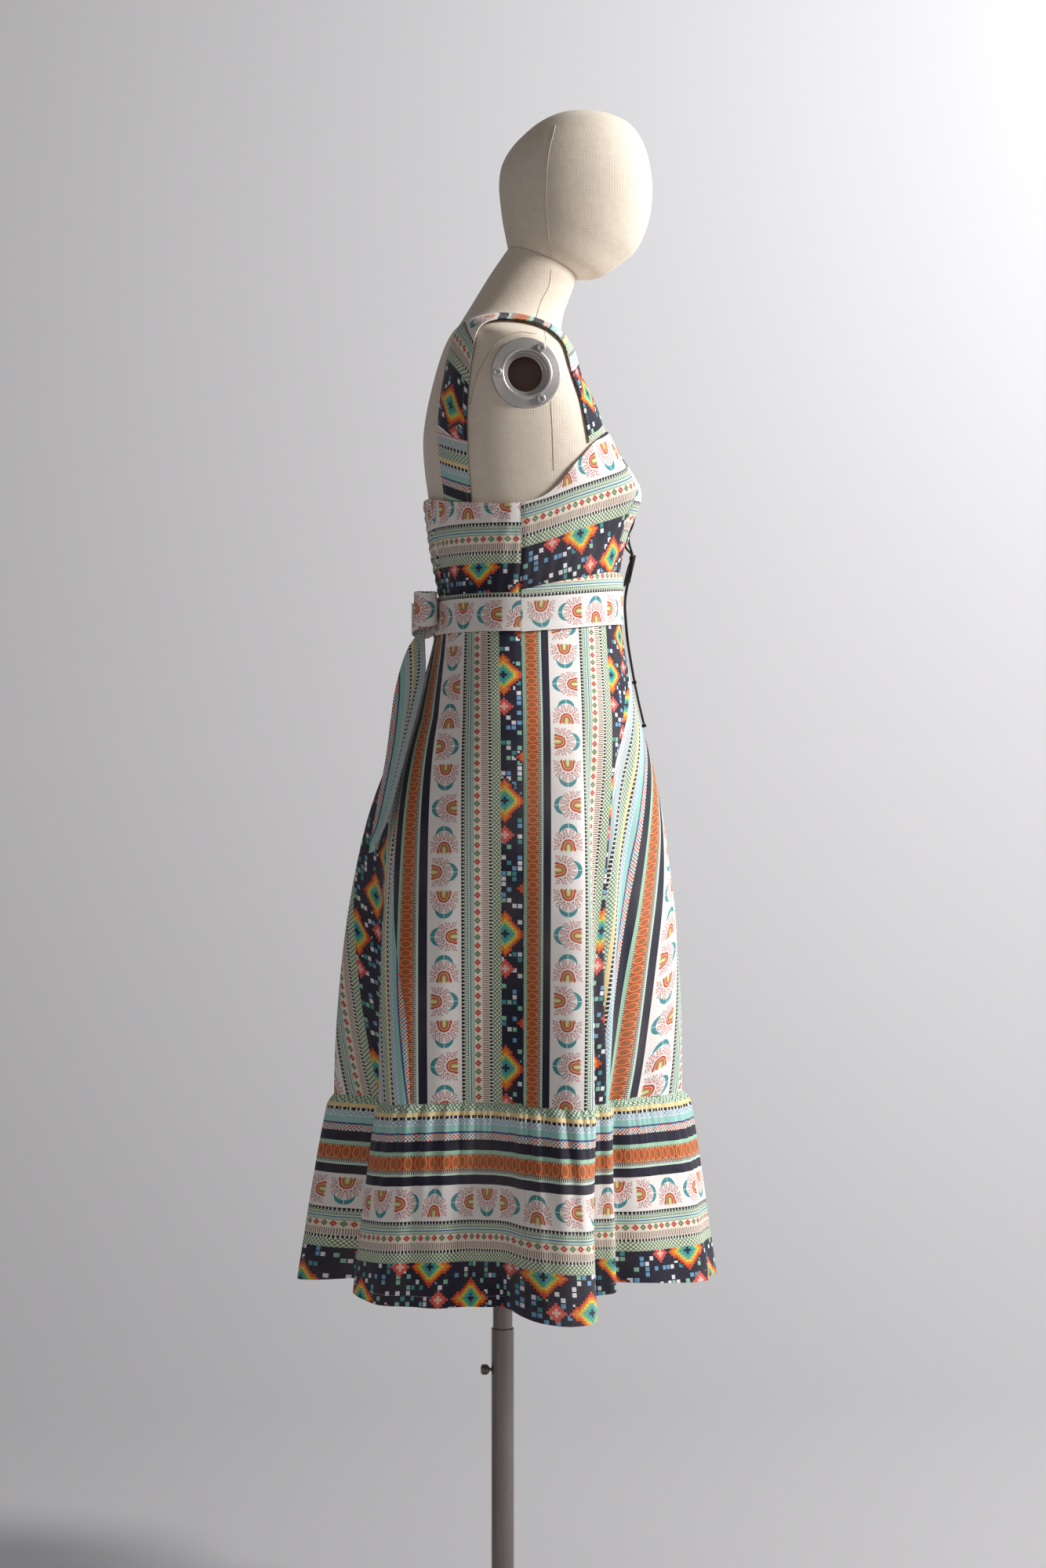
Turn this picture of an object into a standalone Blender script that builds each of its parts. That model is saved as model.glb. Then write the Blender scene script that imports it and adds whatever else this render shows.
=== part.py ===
"""A strapped day dress with a gathered hem flounce, worn by a limbless dress form on a pole stand.

Metres, +Z up. The figure faces -Y, so its right side is -X. The origin is on the floor, under the pole.
A direction round the body is an angle in degrees: 0 is the centre front, 90 the figure's right side,
180 the centre back and 270 its left side.
"""

import math

import bmesh
import bpy
from mathutils import Matrix, Vector
from mathutils.bvhtree import BVHTree

# Cloth
WALL = 0.0016  # cloth thickness, seam allowances included
SEAM_GAP = 0.0005  # between two pieces that are sewn edge to edge
LAYER_GAP = 0.0014  # between a piece and the one that it lies on
BODICE_EASE = 0.0045  # from the form to the inside of the bodice

# Heights
WAIST_SEAM = 1.302
FLOUNCE_SEAM = 0.698
HEM = 0.4635
BODY_AXIS_Y = -0.014  # sections are drawn round this upright line

# The torso of the form: height, how far back and forward it reaches, half width, squareness.
TORSO = [
    # z, back_y, front_y, half_width, squareness
    (1.050, 0.0820, -0.1200, 0.1480, 2.20),
    (1.100, 0.0940, -0.1360, 0.1600, 2.20),
    (1.160, 0.0960, -0.1410, 0.1620, 2.20),
    (1.230, 0.0830, -0.1390, 0.1440, 2.20),
    (1.285, 0.0745, -0.1380, 0.1260, 2.20),
    (1.330, 0.0745, -0.1380, 0.1210, 2.20),
    (1.380, 0.0840, -0.1460, 0.1300, 2.25),
    (1.425, 0.0905, -0.1490, 0.1380, 2.30),
    (1.460, 0.0950, -0.1500, 0.1430, 2.35),
    (1.495, 0.0995, -0.1405, 0.1480, 2.40),
    (1.530, 0.1010, -0.1310, 0.1520, 2.40),
    (1.565, 0.0965, -0.1165, 0.1545, 2.40),
    (1.600, 0.0885, -0.0970, 0.1550, 2.40),
    (1.628, 0.0805, -0.0875, 0.1530, 2.40),
]

# From the shoulders to the crown the sections tip forward. Each runs through a back and a front point.
NECK = [
    # back_y, back_z, front_y, front_z, half_width
    (0.0735, 1.6465, -0.0815, 1.6390, 0.1490),
    (0.0660, 1.6600, -0.0775, 1.6480, 0.1300),
    (0.0570, 1.6715, -0.0750, 1.6565, 0.1020),
    (0.0480, 1.6860, -0.0740, 1.6660, 0.0740),
    (0.0340, 1.7090, -0.0770, 1.6870, 0.0590),
    (0.0150, 1.7400, -0.0855, 1.7110, 0.0525),
    (-0.0070, 1.7720, -0.0945, 1.7350, 0.0500),
]
HEAD = [
    (-0.0070, 1.7726, -0.0945, 1.7356, 0.0500),
    (-0.0035, 1.7900, -0.1240, 1.7380, 0.0600),
    (0.0000, 1.8080, -0.1500, 1.7540, 0.0670),
    (0.0030, 1.8320, -0.1720, 1.7740, 0.0730),
    (0.0045, 1.8560, -0.1870, 1.8100, 0.0765),
    (0.0010, 1.8780, -0.1914, 1.8500, 0.0770),
    (-0.0090, 1.8970, -0.1870, 1.8850, 0.0730),
    (-0.0240, 1.9140, -0.1780, 1.9110, 0.0640),
    (-0.0440, 1.9310, -0.1630, 1.9310, 0.0500),
    (-0.0660, 1.9425, -0.1400, 1.9425, 0.0320),
    (-0.0860, 1.9475, -0.1180, 1.9475, 0.0140),
]
FORM_SIDES = 24

# The bust of the form is general: two soft rises, which the cups of the bodice follow.
BUST_ANGLE = 25.0
BUST_SPREAD = 17.0
BUST_HEIGHT = 1.452
BUST_REACH = 0.044
BUST_RISE = 0.0160
CUP_RISE = 0.0220
CUP_BRIDGE = 0.10  # how much of the rise the cloth keeps where it spans between the cups

# The skirt hangs from the hips as a smooth oval: height, back and front reach, half width.
SKIRT = [
    # z, back_y, front_y, half_width
    (1.302, 0.0845, -0.1505, 0.1345),
    (1.285, 0.0855, -0.1515, 0.1360),
    (1.255, 0.0915, -0.1560, 0.1435),
    (1.215, 0.1030, -0.1640, 0.1560),
    (1.170, 0.1185, -0.1740, 0.1700),
    (1.110, 0.1370, -0.1860, 0.1760),
    (1.050, 0.1530, -0.1940, 0.1810),
    (0.990, 0.1645, -0.2010, 0.1850),
    (0.920, 0.1770, -0.2100, 0.1890),
    (0.850, 0.1880, -0.2180, 0.1920),
    (0.780, 0.1990, -0.2260, 0.1950),
    (0.698, 0.2140, -0.2315, 0.1980),
]

# Below the hips it falls into folds. How far out it stands at the flounce's seam and at the hem.
FALL_STARTS = 1.170
FALL = [
    # angle, radius_at_seam, radius_at_hem
    (0.0, 0.2175, 0.260),
    (12.0, 0.2000, 0.244),
    (23.0, 0.1730, 0.214),
    (33.0, 0.1580, 0.178),
    (38.0, 0.1460, 0.156),
    (44.0, 0.1500, 0.160),
    (51.0, 0.1710, 0.182),
    (56.0, 0.1710, 0.176),
    (62.0, 0.1730, 0.172),
    (67.5, 0.2170, 0.212),
    (73.0, 0.2220, 0.268),
    (79.0, 0.2120, 0.285),
    (85.0, 0.1980, 0.276),
    (90.0, 0.1890, 0.250),
    (96.0, 0.1830, 0.208),
    (105.0, 0.1790, 0.203),
    (120.0, 0.1960, 0.231),
    (135.0, 0.2180, 0.247),
    (146.0, 0.2070, 0.247),
    (154.0, 0.1800, 0.212),
    (163.0, 0.1720, 0.206),
    (172.0, 0.1980, 0.250),
    (180.0, 0.2280, 0.277),
    (189.0, 0.2080, 0.258),
    (198.0, 0.1780, 0.218),
    (208.0, 0.1780, 0.214),
    (220.0, 0.2060, 0.244),
    (236.0, 0.2120, 0.244),
    (252.0, 0.1860, 0.216),
    (264.0, 0.1810, 0.206),
    (273.0, 0.1900, 0.236),
    (281.0, 0.2080, 0.272),
    (289.0, 0.2200, 0.276),
    (296.0, 0.2140, 0.254),
    (304.0, 0.1800, 0.214),
    (313.0, 0.1560, 0.180),
    (324.0, 0.1580, 0.184),
    (336.0, 0.1780, 0.220),
    (348.0, 0.2020, 0.246),
    (360.0, 0.2175, 0.260),
]

# Where the seam of the flounce rises, and where the hem hangs lower than its level line.
SEAM_RISES = [(108.0, 48.0, 0.008), (252.0, 48.0, 0.006)]
HEM_DIPS = [
    # angle, half_width, dip
    (79.0, 20.0, 0.009),
    (38.0, 28.0, -0.008),
    (158.0, 24.0, -0.012),
    (204.0, 24.0, -0.009),
    (284.0, 22.0, 0.008),
    (322.0, 26.0, -0.007),
]

GATHERS = 80  # sewn into the flounce's top edge, all round
GATHER_DEPTH = 0.0034
GATHER_FADE = 0.080  # how far down the gathers run out
FLOUNCE_PUFF = 0.0050  # the flounce swells out under its seam
RIPPLES = 21  # softer waves that the gathers open into at the hem
RIPPLE_DEPTH = 0.0030

# Seams round the body, as angles at the figure's right side. The left side mirrors them.
SIDE_SEAM = 90.0
BACK_PANEL_SEAM = 153.0
PRINCESS_SEAM = [
    # z, angle
    (1.302, 17.0),
    (1.360, 21.0),
    (1.395, 28.0),
    (1.430, 31.0),
    (1.466, 28.0),
    (1.535, 26.0),
]
FRONT_GORE_SEAM = [
    # z, angle from the centre front
    (0.690, 52.5),
    (0.735, 53.0),
    (0.800, 54.5),
    (0.880, 55.6),
    (0.963, 55.0),
    (1.025, 53.2),
    (1.091, 49.8),
    (1.135, 45.0),
    (1.172, 38.5),
    (1.213, 27.0),
    (1.250, 16.0),
    (1.302, 6.0),
]
BACK_GORE_SEAM = [
    # z, angle from the centre back
    (0.690, 50.0),
    (0.800, 48.5),
    (0.862, 44.8),
    (0.918, 41.2),
    (0.970, 38.5),
    (1.090, 29.0),
    (1.175, 19.5),
    (1.250, 11.0),
    (1.302, 6.0),
]

# The top edge of the bodice by angle, at the figure's right side.
BODICE_TOP = [
    # angle, z
    (0.0, 1.497),
    (12.0, 1.500),
    (22.0, 1.509),
    (31.0, 1.521),
    (38.0, 1.5280),
    (46.0, 1.5200),
    (54.0, 1.5085),
    (60.0, 1.4940),
    (65.0, 1.4810),
    (72.0, 1.4570),
    (80.0, 1.4410),
    (90.0, 1.4340),
    (105.0, 1.4325),
    (125.0, 1.4370),
    (153.0, 1.4460),
    (180.0, 1.4490),
]

# The front waistband is deeper at the centre front than at the side seam.
BAND_TOP = [(0.0, 1.3510), (32.0, 1.3545), (72.0, 1.3375), (90.0, 1.3270)]
BAND_BOTTOM = [(0.0, 1.2940), (32.0, 1.2890), (72.0, 1.2795), (90.0, 1.2760)]
SASH_TOP = 1.3240
SASH_BOTTOM = 1.2770
SASH_END_ANGLE = 176.5  # where the sash runs into the knot
SASH_PINCH = 0.012  # how much each edge closes in at the knot

# A strap's outer and inner edge, from the top of the cup over the shoulder and down the back.
STRAP_LIFT = 0.0028
STRAP_BRIDGE = 0.0026  # it stands further off where it turns over the shoulder
STRAP_BACK_LIFT = 0.0028
STRAP_FRONT = [
    # outer x, y, z, inner x, y, z
    (-0.1215, -0.0960, 1.5096, -0.0840, -0.1180, 1.5291),
    (-0.1220, -0.0900, 1.5330, -0.0830, -0.1120, 1.5490),
    (-0.1230, -0.0850, 1.5660, -0.0820, -0.1000, 1.5770),
    (-0.1240, -0.0790, 1.5970, -0.0820, -0.0870, 1.6040),
    (-0.1250, -0.0690, 1.6260, -0.0830, -0.0760, 1.6330),
    (-0.1260, -0.0500, 1.6450, -0.0850, -0.0560, 1.6600),
    (-0.1270, -0.0200, 1.6550, -0.0870, -0.0220, 1.6680),
    (-0.1280, 0.0120, 1.6530, -0.0890, 0.0120, 1.6680),
    (-0.1290, 0.0310, 1.6370, -0.0910, 0.0420, 1.6560),
    (-0.1310, 0.0400, 1.6050, -0.0930, 0.0650, 1.6200),
    (-0.1330, 0.0460, 1.5715, -0.0950, 0.0780, 1.5800),
    (-0.1335, 0.0490, 1.5350, -0.0970, 0.0840, 1.5480),
    (-0.1330, 0.0500, 1.5095, -0.0965, 0.0850, 1.5255),
]
STRAP_BACK = [
    (-0.1330, 0.0500, 1.5088, -0.0965, 0.0850, 1.5248),
    (-0.1310, 0.0510, 1.4800, -0.0950, 0.0850, 1.4880),
    (-0.1285, 0.0515, 1.4364, -0.0930, 0.0840, 1.4422),
]

# The bow at the centre back.
BOW_CENTRE = Vector((0.0, 0.0990, 1.3020))
KNOT_SIZE = Vector((0.024, 0.021, 0.034))
LOOP_LENGTH = 0.064
LOOP_DEPTH = 0.027
LOOP_WIDTH = 0.044
LOOP_PINCH = 0.024
LOOP_RISE = 0.016

# Each tail of the bow: its outer edge and its inner edge, level by level, at the figure's right side.
TAIL = [
    # z, outer_x, outer_y, inner_x, inner_y
    (1.2845, -0.0015, 0.1030, -0.0100, 0.0985),
    (1.262, -0.020, 0.1185, -0.046, 0.0985),
    (1.225, -0.034, 0.1310, -0.072, 0.0985),
    (1.185, -0.046, 0.1370, -0.089, 0.1065),
    (1.140, -0.056, 0.1430, -0.104, 0.1190),
    (1.090, -0.064, 0.1530, -0.114, 0.1330),
    (1.045, -0.070, 0.1625, -0.118, 0.1460),
    (1.018, -0.074, 0.1680, -0.108, 0.1580),
]
TAIL_LEFT_LONGER = 0.026

# Lacing at the centre front.
CORD = 0.0030
EYELET_ANGLE = 8.5
EYELET_HEIGHTS = (1.486, 1.443, 1.400)
EYELET_RADIUS = 0.0042
EYELET_WIRE = 0.0011
EYELET_LIFT = 0.0009  # clear of the cloth, which isn't flat under the ring
LACE_UNDER = 0.0055  # from the bodice to the middle of the cord
LACE_OVER = 0.0091
LACE_KNOT = Vector((0.0, -0.1660, 1.3780))
LACE_KNOT_RADIUS = 0.0048
LACE_LONG = [
    # x, y, z, from the knot to the free end
    (0.0022, -0.1662, 1.3731),
    (0.0044, -0.1610, 1.350),
    (0.0050, -0.1570, 1.324),
    (0.0046, -0.1580, 1.298),
    (0.0040, -0.1610, 1.268),
    (0.0036, -0.1675, 1.230),
    (0.0030, -0.1740, 1.198),
    (0.0024, -0.1810, 1.168),
]
LACE_SHORT = [
    (-0.0022, -0.1662, 1.3731),
    (-0.0040, -0.1610, 1.350),
    (-0.0050, -0.1565, 1.324),
    (-0.0050, -0.1575, 1.298),
    (-0.0046, -0.1605, 1.268),
    (-0.0042, -0.1650, 1.240),
    (-0.0042, -0.1680, 1.223),
]
LACE_LOOP = [
    # one loop of the lace's own bow, from the knot out and back
    (-0.0067, -0.1662, 1.3799),
    (-0.0150, -0.1675, 1.3800),
    (-0.0250, -0.1650, 1.3720),
    (-0.0290, -0.1610, 1.3560),
    (-0.0260, -0.1590, 1.3460),
    (-0.0190, -0.1600, 1.3500),
    (-0.0120, -0.1640, 1.3620),
    (-0.0067, -0.1662, 1.3761),
]
LACE_END_KNOT = 0.0032

# Arm sockets in the sides of the form.
SOCKET_CENTRE = Vector((-0.1500, -0.0190, 1.5900))  # on the seat of the flange
SOCKET_TURN = math.radians(6.0)  # the flange faces a little forward
SOCKET_FLANGE = 0.0430
SOCKET_CUP = 0.0275
SOCKET_DEPTH = 0.0260
SCREW_CIRCLE = 0.0360
SCREW_HEAD = 0.0055
SCREW_HEIGHT = 0.0034
SCREW_SEAT = 0.0048  # just clear of the flange

# Stand
MAST_RADIUS = 0.0125
MAST_TOP = 1.104
MAST_BOTTOM = 0.150
MAST_SOCKET = 0.0130
STAND_BORE = 0.0128
STAND_RADIUS = 0.0144
STAND_TOP = 0.397
STAND_BOTTOM = 0.0077
BASE_RADIUS = 0.185
BASE_HEIGHT = 0.0072
HUB_RADIUS = 0.030
HUB_TOP = 0.062
CLAMP_HEIGHT = 0.344
CLAMP_KNOB = 0.0065
CLAMP_SHAFT = 0.0024

NEAR_ZERO = 0.00001


def clear_scene():
    for obj in list(bpy.data.objects):
        bpy.data.objects.remove(obj)


def make_material(name, colour, roughness, metallic=0.0):
    material = bpy.data.materials.new(name)
    material.use_nodes = True
    shader = material.node_tree.nodes["Principled BSDF"]
    shader.inputs["Base Color"].default_value = (*colour, 1.0)
    shader.inputs["Roughness"].default_value = roughness
    shader.inputs["Metallic"].default_value = metallic
    return material


def add_object(name, data, material, collection):
    obj = bpy.data.objects.new(name, data)
    collection.objects.link(obj)
    if material is not None:
        data.materials.append(material)
    return obj


def between(table, key):
    """The table's other columns at this key, on a smooth line through its rows (Catmull-Rom)."""
    rows = sorted(table)
    key = min(max(key, rows[0][0]), rows[-1][0])
    at = max(i for i in range(len(rows) - 1) if rows[i][0] <= key or i == 0)
    low, high = rows[at], rows[at + 1]
    before = rows[at - 1] if at else low
    after = rows[at + 2] if at + 2 < len(rows) else high
    span = high[0] - low[0]
    t = (key - low[0]) / span
    values = []
    for column in range(1, len(low)):
        rise_in = (high[column] - before[column]) / (high[0] - before[0]) * span
        rise_out = (after[column] - low[column]) / (after[0] - low[0]) * span
        values.append(
            (2 * t**3 - 3 * t**2 + 1) * low[column]
            + (t**3 - 2 * t**2 + t) * rise_in
            + (3 * t**2 - 2 * t**3) * high[column]
            + (t**3 - t**2) * rise_out
        )
    return values


def hump(distance, half_width):
    """1 at the middle and 0 from half_width outwards, with soft shoulders."""
    share = min(abs(distance) / half_width, 1.0)
    return 0.5 + 0.5 * math.cos(math.pi * share)


def turn_between(a, b):
    """The angle from b to a, from -180 to 180 degrees."""
    return (a - b + 180.0) % 360.0 - 180.0


def oval(angle, half_width, back, front, squareness):
    """Distance from the middle of a rounded section to its edge, in this direction."""
    across = abs(math.sin(math.radians(angle))) / half_width
    along = math.cos(math.radians(angle))
    depth = abs(along) / (front if along > 0 else back)
    return (across**squareness + depth**squareness) ** (-1.0 / squareness)


def direction(angle):
    turn = math.radians(angle)
    return Vector((-math.sin(turn), -math.cos(turn), 0.0))


def bust_rise(angle, z):
    """How far the bust of the form stands out here."""
    off_centre = abs(turn_between(angle, 0.0))
    across = math.exp(-(((off_centre - BUST_ANGLE) / BUST_SPREAD) ** 2))
    return BUST_RISE * across * math.exp(-(((z - BUST_HEIGHT) / BUST_REACH) ** 2))


def cup_rise(angle, z):
    """The same for the bodice, whose cloth bridges between the cups."""
    off_centre = abs(turn_between(angle, 0.0))
    across = math.exp(-(((off_centre - BUST_ANGLE) / BUST_SPREAD) ** 2))
    if off_centre < BUST_ANGLE:
        across = CUP_BRIDGE + (1 - CUP_BRIDGE) * across
    return CUP_RISE * across * math.exp(-(((z - BUST_HEIGHT) / BUST_REACH) ** 2))


def torso_radius(angle, z):
    back, front, half_width, squareness = between(TORSO, z)
    return oval(angle, half_width, back - BODY_AXIS_Y, BODY_AXIS_Y - front, squareness)


def round_axis(angle, z, radius):
    return Vector((0.0, BODY_AXIS_Y, z)) + direction(angle) * radius


def torso_point(angle, z):
    return round_axis(angle, z, torso_radius(angle, z) + bust_rise(angle, z))


def bodice_point(angle, z):
    """A point on the inside of the bodice."""
    return round_axis(angle, z, torso_radius(angle, z) + cup_rise(angle, z) + BODICE_EASE)


def skirt_radius(angle, z):
    """The inside of the skirt above the flounce."""
    back, front, half_width = between(SKIRT, z)
    smooth = oval(angle, half_width, back - BODY_AXIS_Y, BODY_AXIS_Y - front, 2.1)
    fallen = min(max((FALL_STARTS - z) / (FALL_STARTS - FLOUNCE_SEAM), 0.0), 1.0)
    folded = between(FALL, angle % 360.0)[0]
    return smooth + (folded - smooth) * fallen**0.9 - WALL


def skirt_point(angle, z):
    return round_axis(angle, z, skirt_radius(angle, z))


def humps_at(humps, angle):
    return sum(height * hump(turn_between(angle, at), width) for at, width, height in humps)


def seam_level(angle):
    return FLOUNCE_SEAM + humps_at(SEAM_RISES, angle)


def hem_level(angle):
    return HEM - humps_at(HEM_DIPS, angle)


def gather_wave(angle, drop):
    """The flounce's small gathers, which fade out, and the soft ripples, which grow towards the hem."""
    turns = math.radians(angle)
    gathers = math.cos(GATHERS * turns) * (0.75 + 0.25 * math.sin(5 * turns))
    rise = min(drop / 0.010, 1.0)
    fade = max(0.0, 1.0 - drop / GATHER_FADE)
    ripples = math.cos(RIPPLES * turns + 1.4 * math.sin(3 * turns + 0.8))
    growth = min(drop / (FLOUNCE_SEAM - HEM), 1.0)
    return GATHER_DEPTH * gathers * rise * fade + RIPPLE_DEPTH * ripples * growth


def flounce_point(angle, share):
    """A point on the inside of the flounce, at this share of the way from its seam to the hem."""
    top = seam_level(angle) - SEAM_GAP
    drop = share * (top - hem_level(angle))
    at_seam = skirt_radius(angle, seam_level(angle)) if share < 0.5 else None
    seam_radius, hem_radius = between(FALL, angle % 360.0)
    start = at_seam if at_seam is not None else seam_radius - WALL
    radius = start + (hem_radius - WALL - start) * max(share, 0.0) ** 0.85
    radius += FLOUNCE_PUFF * min(max(drop, 0.0) / 0.012, 1.0) * (1.0 - share)
    radius += gather_wave(angle, max(drop, 0.0))
    return round_axis(angle, top - drop, radius)


def faced(point_at, angle, height):
    """A point of a surface and the way that the surface faces there."""
    across = point_at(angle + 0.5, height) - point_at(angle - 0.5, height)
    up = point_at(angle, height + 0.003) - point_at(angle, height - 0.003)
    facing = up.cross(across).normalized()
    if facing.dot(direction(angle)) < 0:
        facing = -facing
    return point_at(angle, height), facing


def join_rows(mesh, lower, upper):
    """Faces between two rows. One row may have twice as many points as the other."""
    if len(lower) == len(upper):
        for i in range(len(lower) - 1):
            mesh.faces.new((lower[i], lower[i + 1], upper[i + 1], upper[i]))
        return
    dense, sparse = (upper, lower) if len(upper) > len(lower) else (lower, upper)
    for i in range(len(sparse) - 1):
        middle = dense[2 * i + 1]
        mesh.faces.new((sparse[i], dense[2 * i], middle))
        mesh.faces.new((sparse[i], middle, sparse[i + 1]))
        mesh.faces.new((sparse[i + 1], middle, dense[2 * i + 2]))


def level_facing(row):
    return [(p, Vector((n.x, n.y, 0.0)).normalized() if abs(n.z) < 0.9 else n) for p, n in row]


def cloth_object(name, rows, material, collection, thickness=WALL):
    """A cloth piece as a closed wall, from rows of its inner points and the way that each faces.

    The lowest and the highest row are squared off, so that pieces sewn edge to edge stay apart.
    """
    rows = [level_facing(rows[0])] + list(rows[1:-1]) + [level_facing(rows[-1])]
    mesh = bmesh.new()
    inner = [[mesh.verts.new(p) for p, _ in row] for row in rows]
    outer = [[mesh.verts.new(p + n * thickness) for p, n in row] for row in rows]
    for skin in (inner, outer):
        for lower, upper in zip(skin, skin[1:]):
            join_rows(mesh, lower, upper)
    borders = []
    for skin in (inner, outer):
        border = list(skin[0]) + [row[-1] for row in skin[1:]]
        border += list(reversed(skin[-1][:-1])) + [row[0] for row in reversed(skin[1:-1])]
        borders.append(border)
    count = len(borders[0])
    for i in range(count):
        j = (i + 1) % count
        mesh.faces.new((borders[0][i], borders[0][j], borders[1][j], borders[1][i]))
    bmesh.ops.recalc_face_normals(mesh, faces=mesh.faces)
    data = bpy.data.meshes.new(name)
    mesh.to_mesh(data)
    mesh.free()
    data.shade_smooth()
    data.set_sharp_from_angle(angle=math.radians(48))
    return add_object(name, data, material, collection)


def facing_rows(rows):
    """Rows of bare points, each with the way that the sheet faces there."""
    faced_rows = []
    for i, row in enumerate(rows):
        below, above = rows[max(i - 1, 0)], rows[min(i + 1, len(rows) - 1)]
        made = []
        for j, point in enumerate(row):
            across = row[min(j + 1, len(row) - 1)] - row[max(j - 1, 0)]
            made.append((point, across.cross(above[j] - below[j]).normalized()))
        faced_rows.append(made)
    return faced_rows


def steps(start, end, count):
    return [start + (end - start) * i / count for i in range(count + 1)]


def mirrored(rows):
    return [[(Vector((-p.x, p.y, p.z)), Vector((-n.x, n.y, n.z))) for p, n in row] for row in rows]


def pair_of(name, rows, material, collection, thickness=WALL):
    """A cloth piece drawn for the figure's right side, and the same mirrored to its left."""
    cloth_object(f"{name}_right", rows, material, collection, thickness)
    cloth_object(f"{name}_left", mirrored(rows), material, collection, thickness)


def seam_margin(radius):
    """Half a seam's gap as an angle, at this distance from the body's axis."""
    return math.degrees(SEAM_GAP / 2 / radius)


def ring_loft(name, rings, material, collection):
    """A closed solid through rings of points, capped at both ends."""
    mesh = bmesh.new()
    loops = [[mesh.verts.new(p) for p in ring] for ring in rings]
    count = len(loops[0])
    for lower, upper in zip(loops, loops[1:]):
        for i in range(count):
            j = (i + 1) % count
            mesh.faces.new((lower[i], lower[j], upper[j], upper[i]))
    mesh.faces.new(list(reversed(loops[0])))
    mesh.faces.new(loops[-1])
    bmesh.ops.recalc_face_normals(mesh, faces=mesh.faces)
    data = bpy.data.meshes.new(name)
    mesh.to_mesh(data)
    mesh.free()
    data.shade_smooth()
    data.set_sharp_from_angle(angle=math.radians(50))
    return add_object(name, data, material, collection)


def tipped_ring(back_y, back_z, front_y, front_z, half_width, squareness):
    """An oval ring through a back point and a front point, so it may lean."""
    back_point = Vector((0.0, back_y, back_z))
    front_point = Vector((0.0, front_y, front_z))
    middle = (back_point + front_point) / 2
    forward = (front_point - back_point) / 2
    ring = []
    for angle in steps(0.0, 360.0, FORM_SIDES)[:-1]:
        reach = oval(angle, half_width, forward.length, forward.length, squareness)
        turn = math.radians(angle)
        side = Vector((-math.sin(turn) * reach, 0.0, 0.0))
        ring.append(middle + forward.normalized() * math.cos(turn) * reach + side)
    return ring


def turned_object(name, profile, material, collection, sides=24):
    """A solid or ring turned about Z from its outline, listed down its outer side."""
    mesh = bmesh.new()
    points = [mesh.verts.new((radius, 0.0, z)) for radius, z in profile]
    for a, b in zip(points, points[1:] + points[:1]):
        if a.co.x > NEAR_ZERO or b.co.x > NEAR_ZERO:
            mesh.edges.new((a, b))
    data = bpy.data.meshes.new(name)
    mesh.to_mesh(data)
    mesh.free()
    obj = add_object(name, data, material, collection)
    spin = obj.modifiers.new("turn", "SCREW")
    spin.steps = sides
    spin.render_steps = sides
    spin.use_merge_vertices = True
    spin.merge_threshold = NEAR_ZERO
    spin.use_smooth_shade = False
    return obj


def cylinder(name, radius, length, material, collection, sides=24):
    mesh = bmesh.new()
    bmesh.ops.create_cone(
        mesh, cap_ends=True, segments=sides, radius1=radius, radius2=radius, depth=length
    )
    data = bpy.data.meshes.new(name)
    mesh.to_mesh(data)
    mesh.free()
    return add_object(name, data, material, collection)


def smooth_route(points, count):
    """Evenly spaced points on a smooth curve through a route's own points."""
    route = [Vector(p) for p in points]
    dense = []
    for i in range(len(route) - 1):
        before = route[max(i - 1, 0)]
        after = route[min(i + 2, len(route) - 1)]
        rise_in = (route[i + 1] - before) / 2
        rise_out = (after - route[i]) / 2
        for step in range(12):
            t = step / 12
            dense.append(
                (2 * t**3 - 3 * t**2 + 1) * route[i]
                + (t**3 - 2 * t**2 + t) * rise_in
                + (3 * t**2 - 2 * t**3) * route[i + 1]
                + (t**3 - t**2) * rise_out
            )
    dense.append(route[-1])
    lengths = [0.0]
    for a, b in zip(dense, dense[1:]):
        lengths.append(lengths[-1] + (b - a).length)
    even, at = [], 0
    for target in steps(0.0, lengths[-1], count):
        while at < len(dense) - 2 and lengths[at + 1] < target:
            at += 1
        share = (target - lengths[at]) / max(lengths[at + 1] - lengths[at], NEAR_ZERO)
        even.append(dense[at].lerp(dense[at + 1], min(share, 1.0)))
    return even


def cord_object(name, points, material, collection, diameter=CORD):
    """A round cord along these points, with closed ends."""
    curve = bpy.data.curves.new(name, "CURVE")
    curve.dimensions = "3D"
    curve.bevel_depth = diameter / 2
    curve.bevel_resolution = 2
    curve.use_fill_caps = True
    line = curve.splines.new("POLY")
    line.points.add(len(points) - 1)
    for place, point in zip(line.points, points):
        place.co = (*point, 1.0)
    return add_object(name, curve, material, collection)


def ball(name, centre, radius, material, collection, stretch=(1.0, 1.0, 1.0)):
    mesh = bmesh.new()
    bmesh.ops.create_uvsphere(mesh, u_segments=8, v_segments=6, radius=radius)
    bmesh.ops.scale(mesh, vec=Vector(stretch), verts=mesh.verts)
    data = bpy.data.meshes.new(name)
    mesh.to_mesh(data)
    mesh.free()
    obj = add_object(name, data, material, collection)
    obj.location = centre
    return obj


def subtract(obj, cutter):
    cutter.hide_render = True
    cutter.display_type = "WIRE"
    cut = obj.modifiers.new(f"cut {cutter.name}", "BOOLEAN")
    cut.operation = "DIFFERENCE"
    cut.object = cutter


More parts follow.
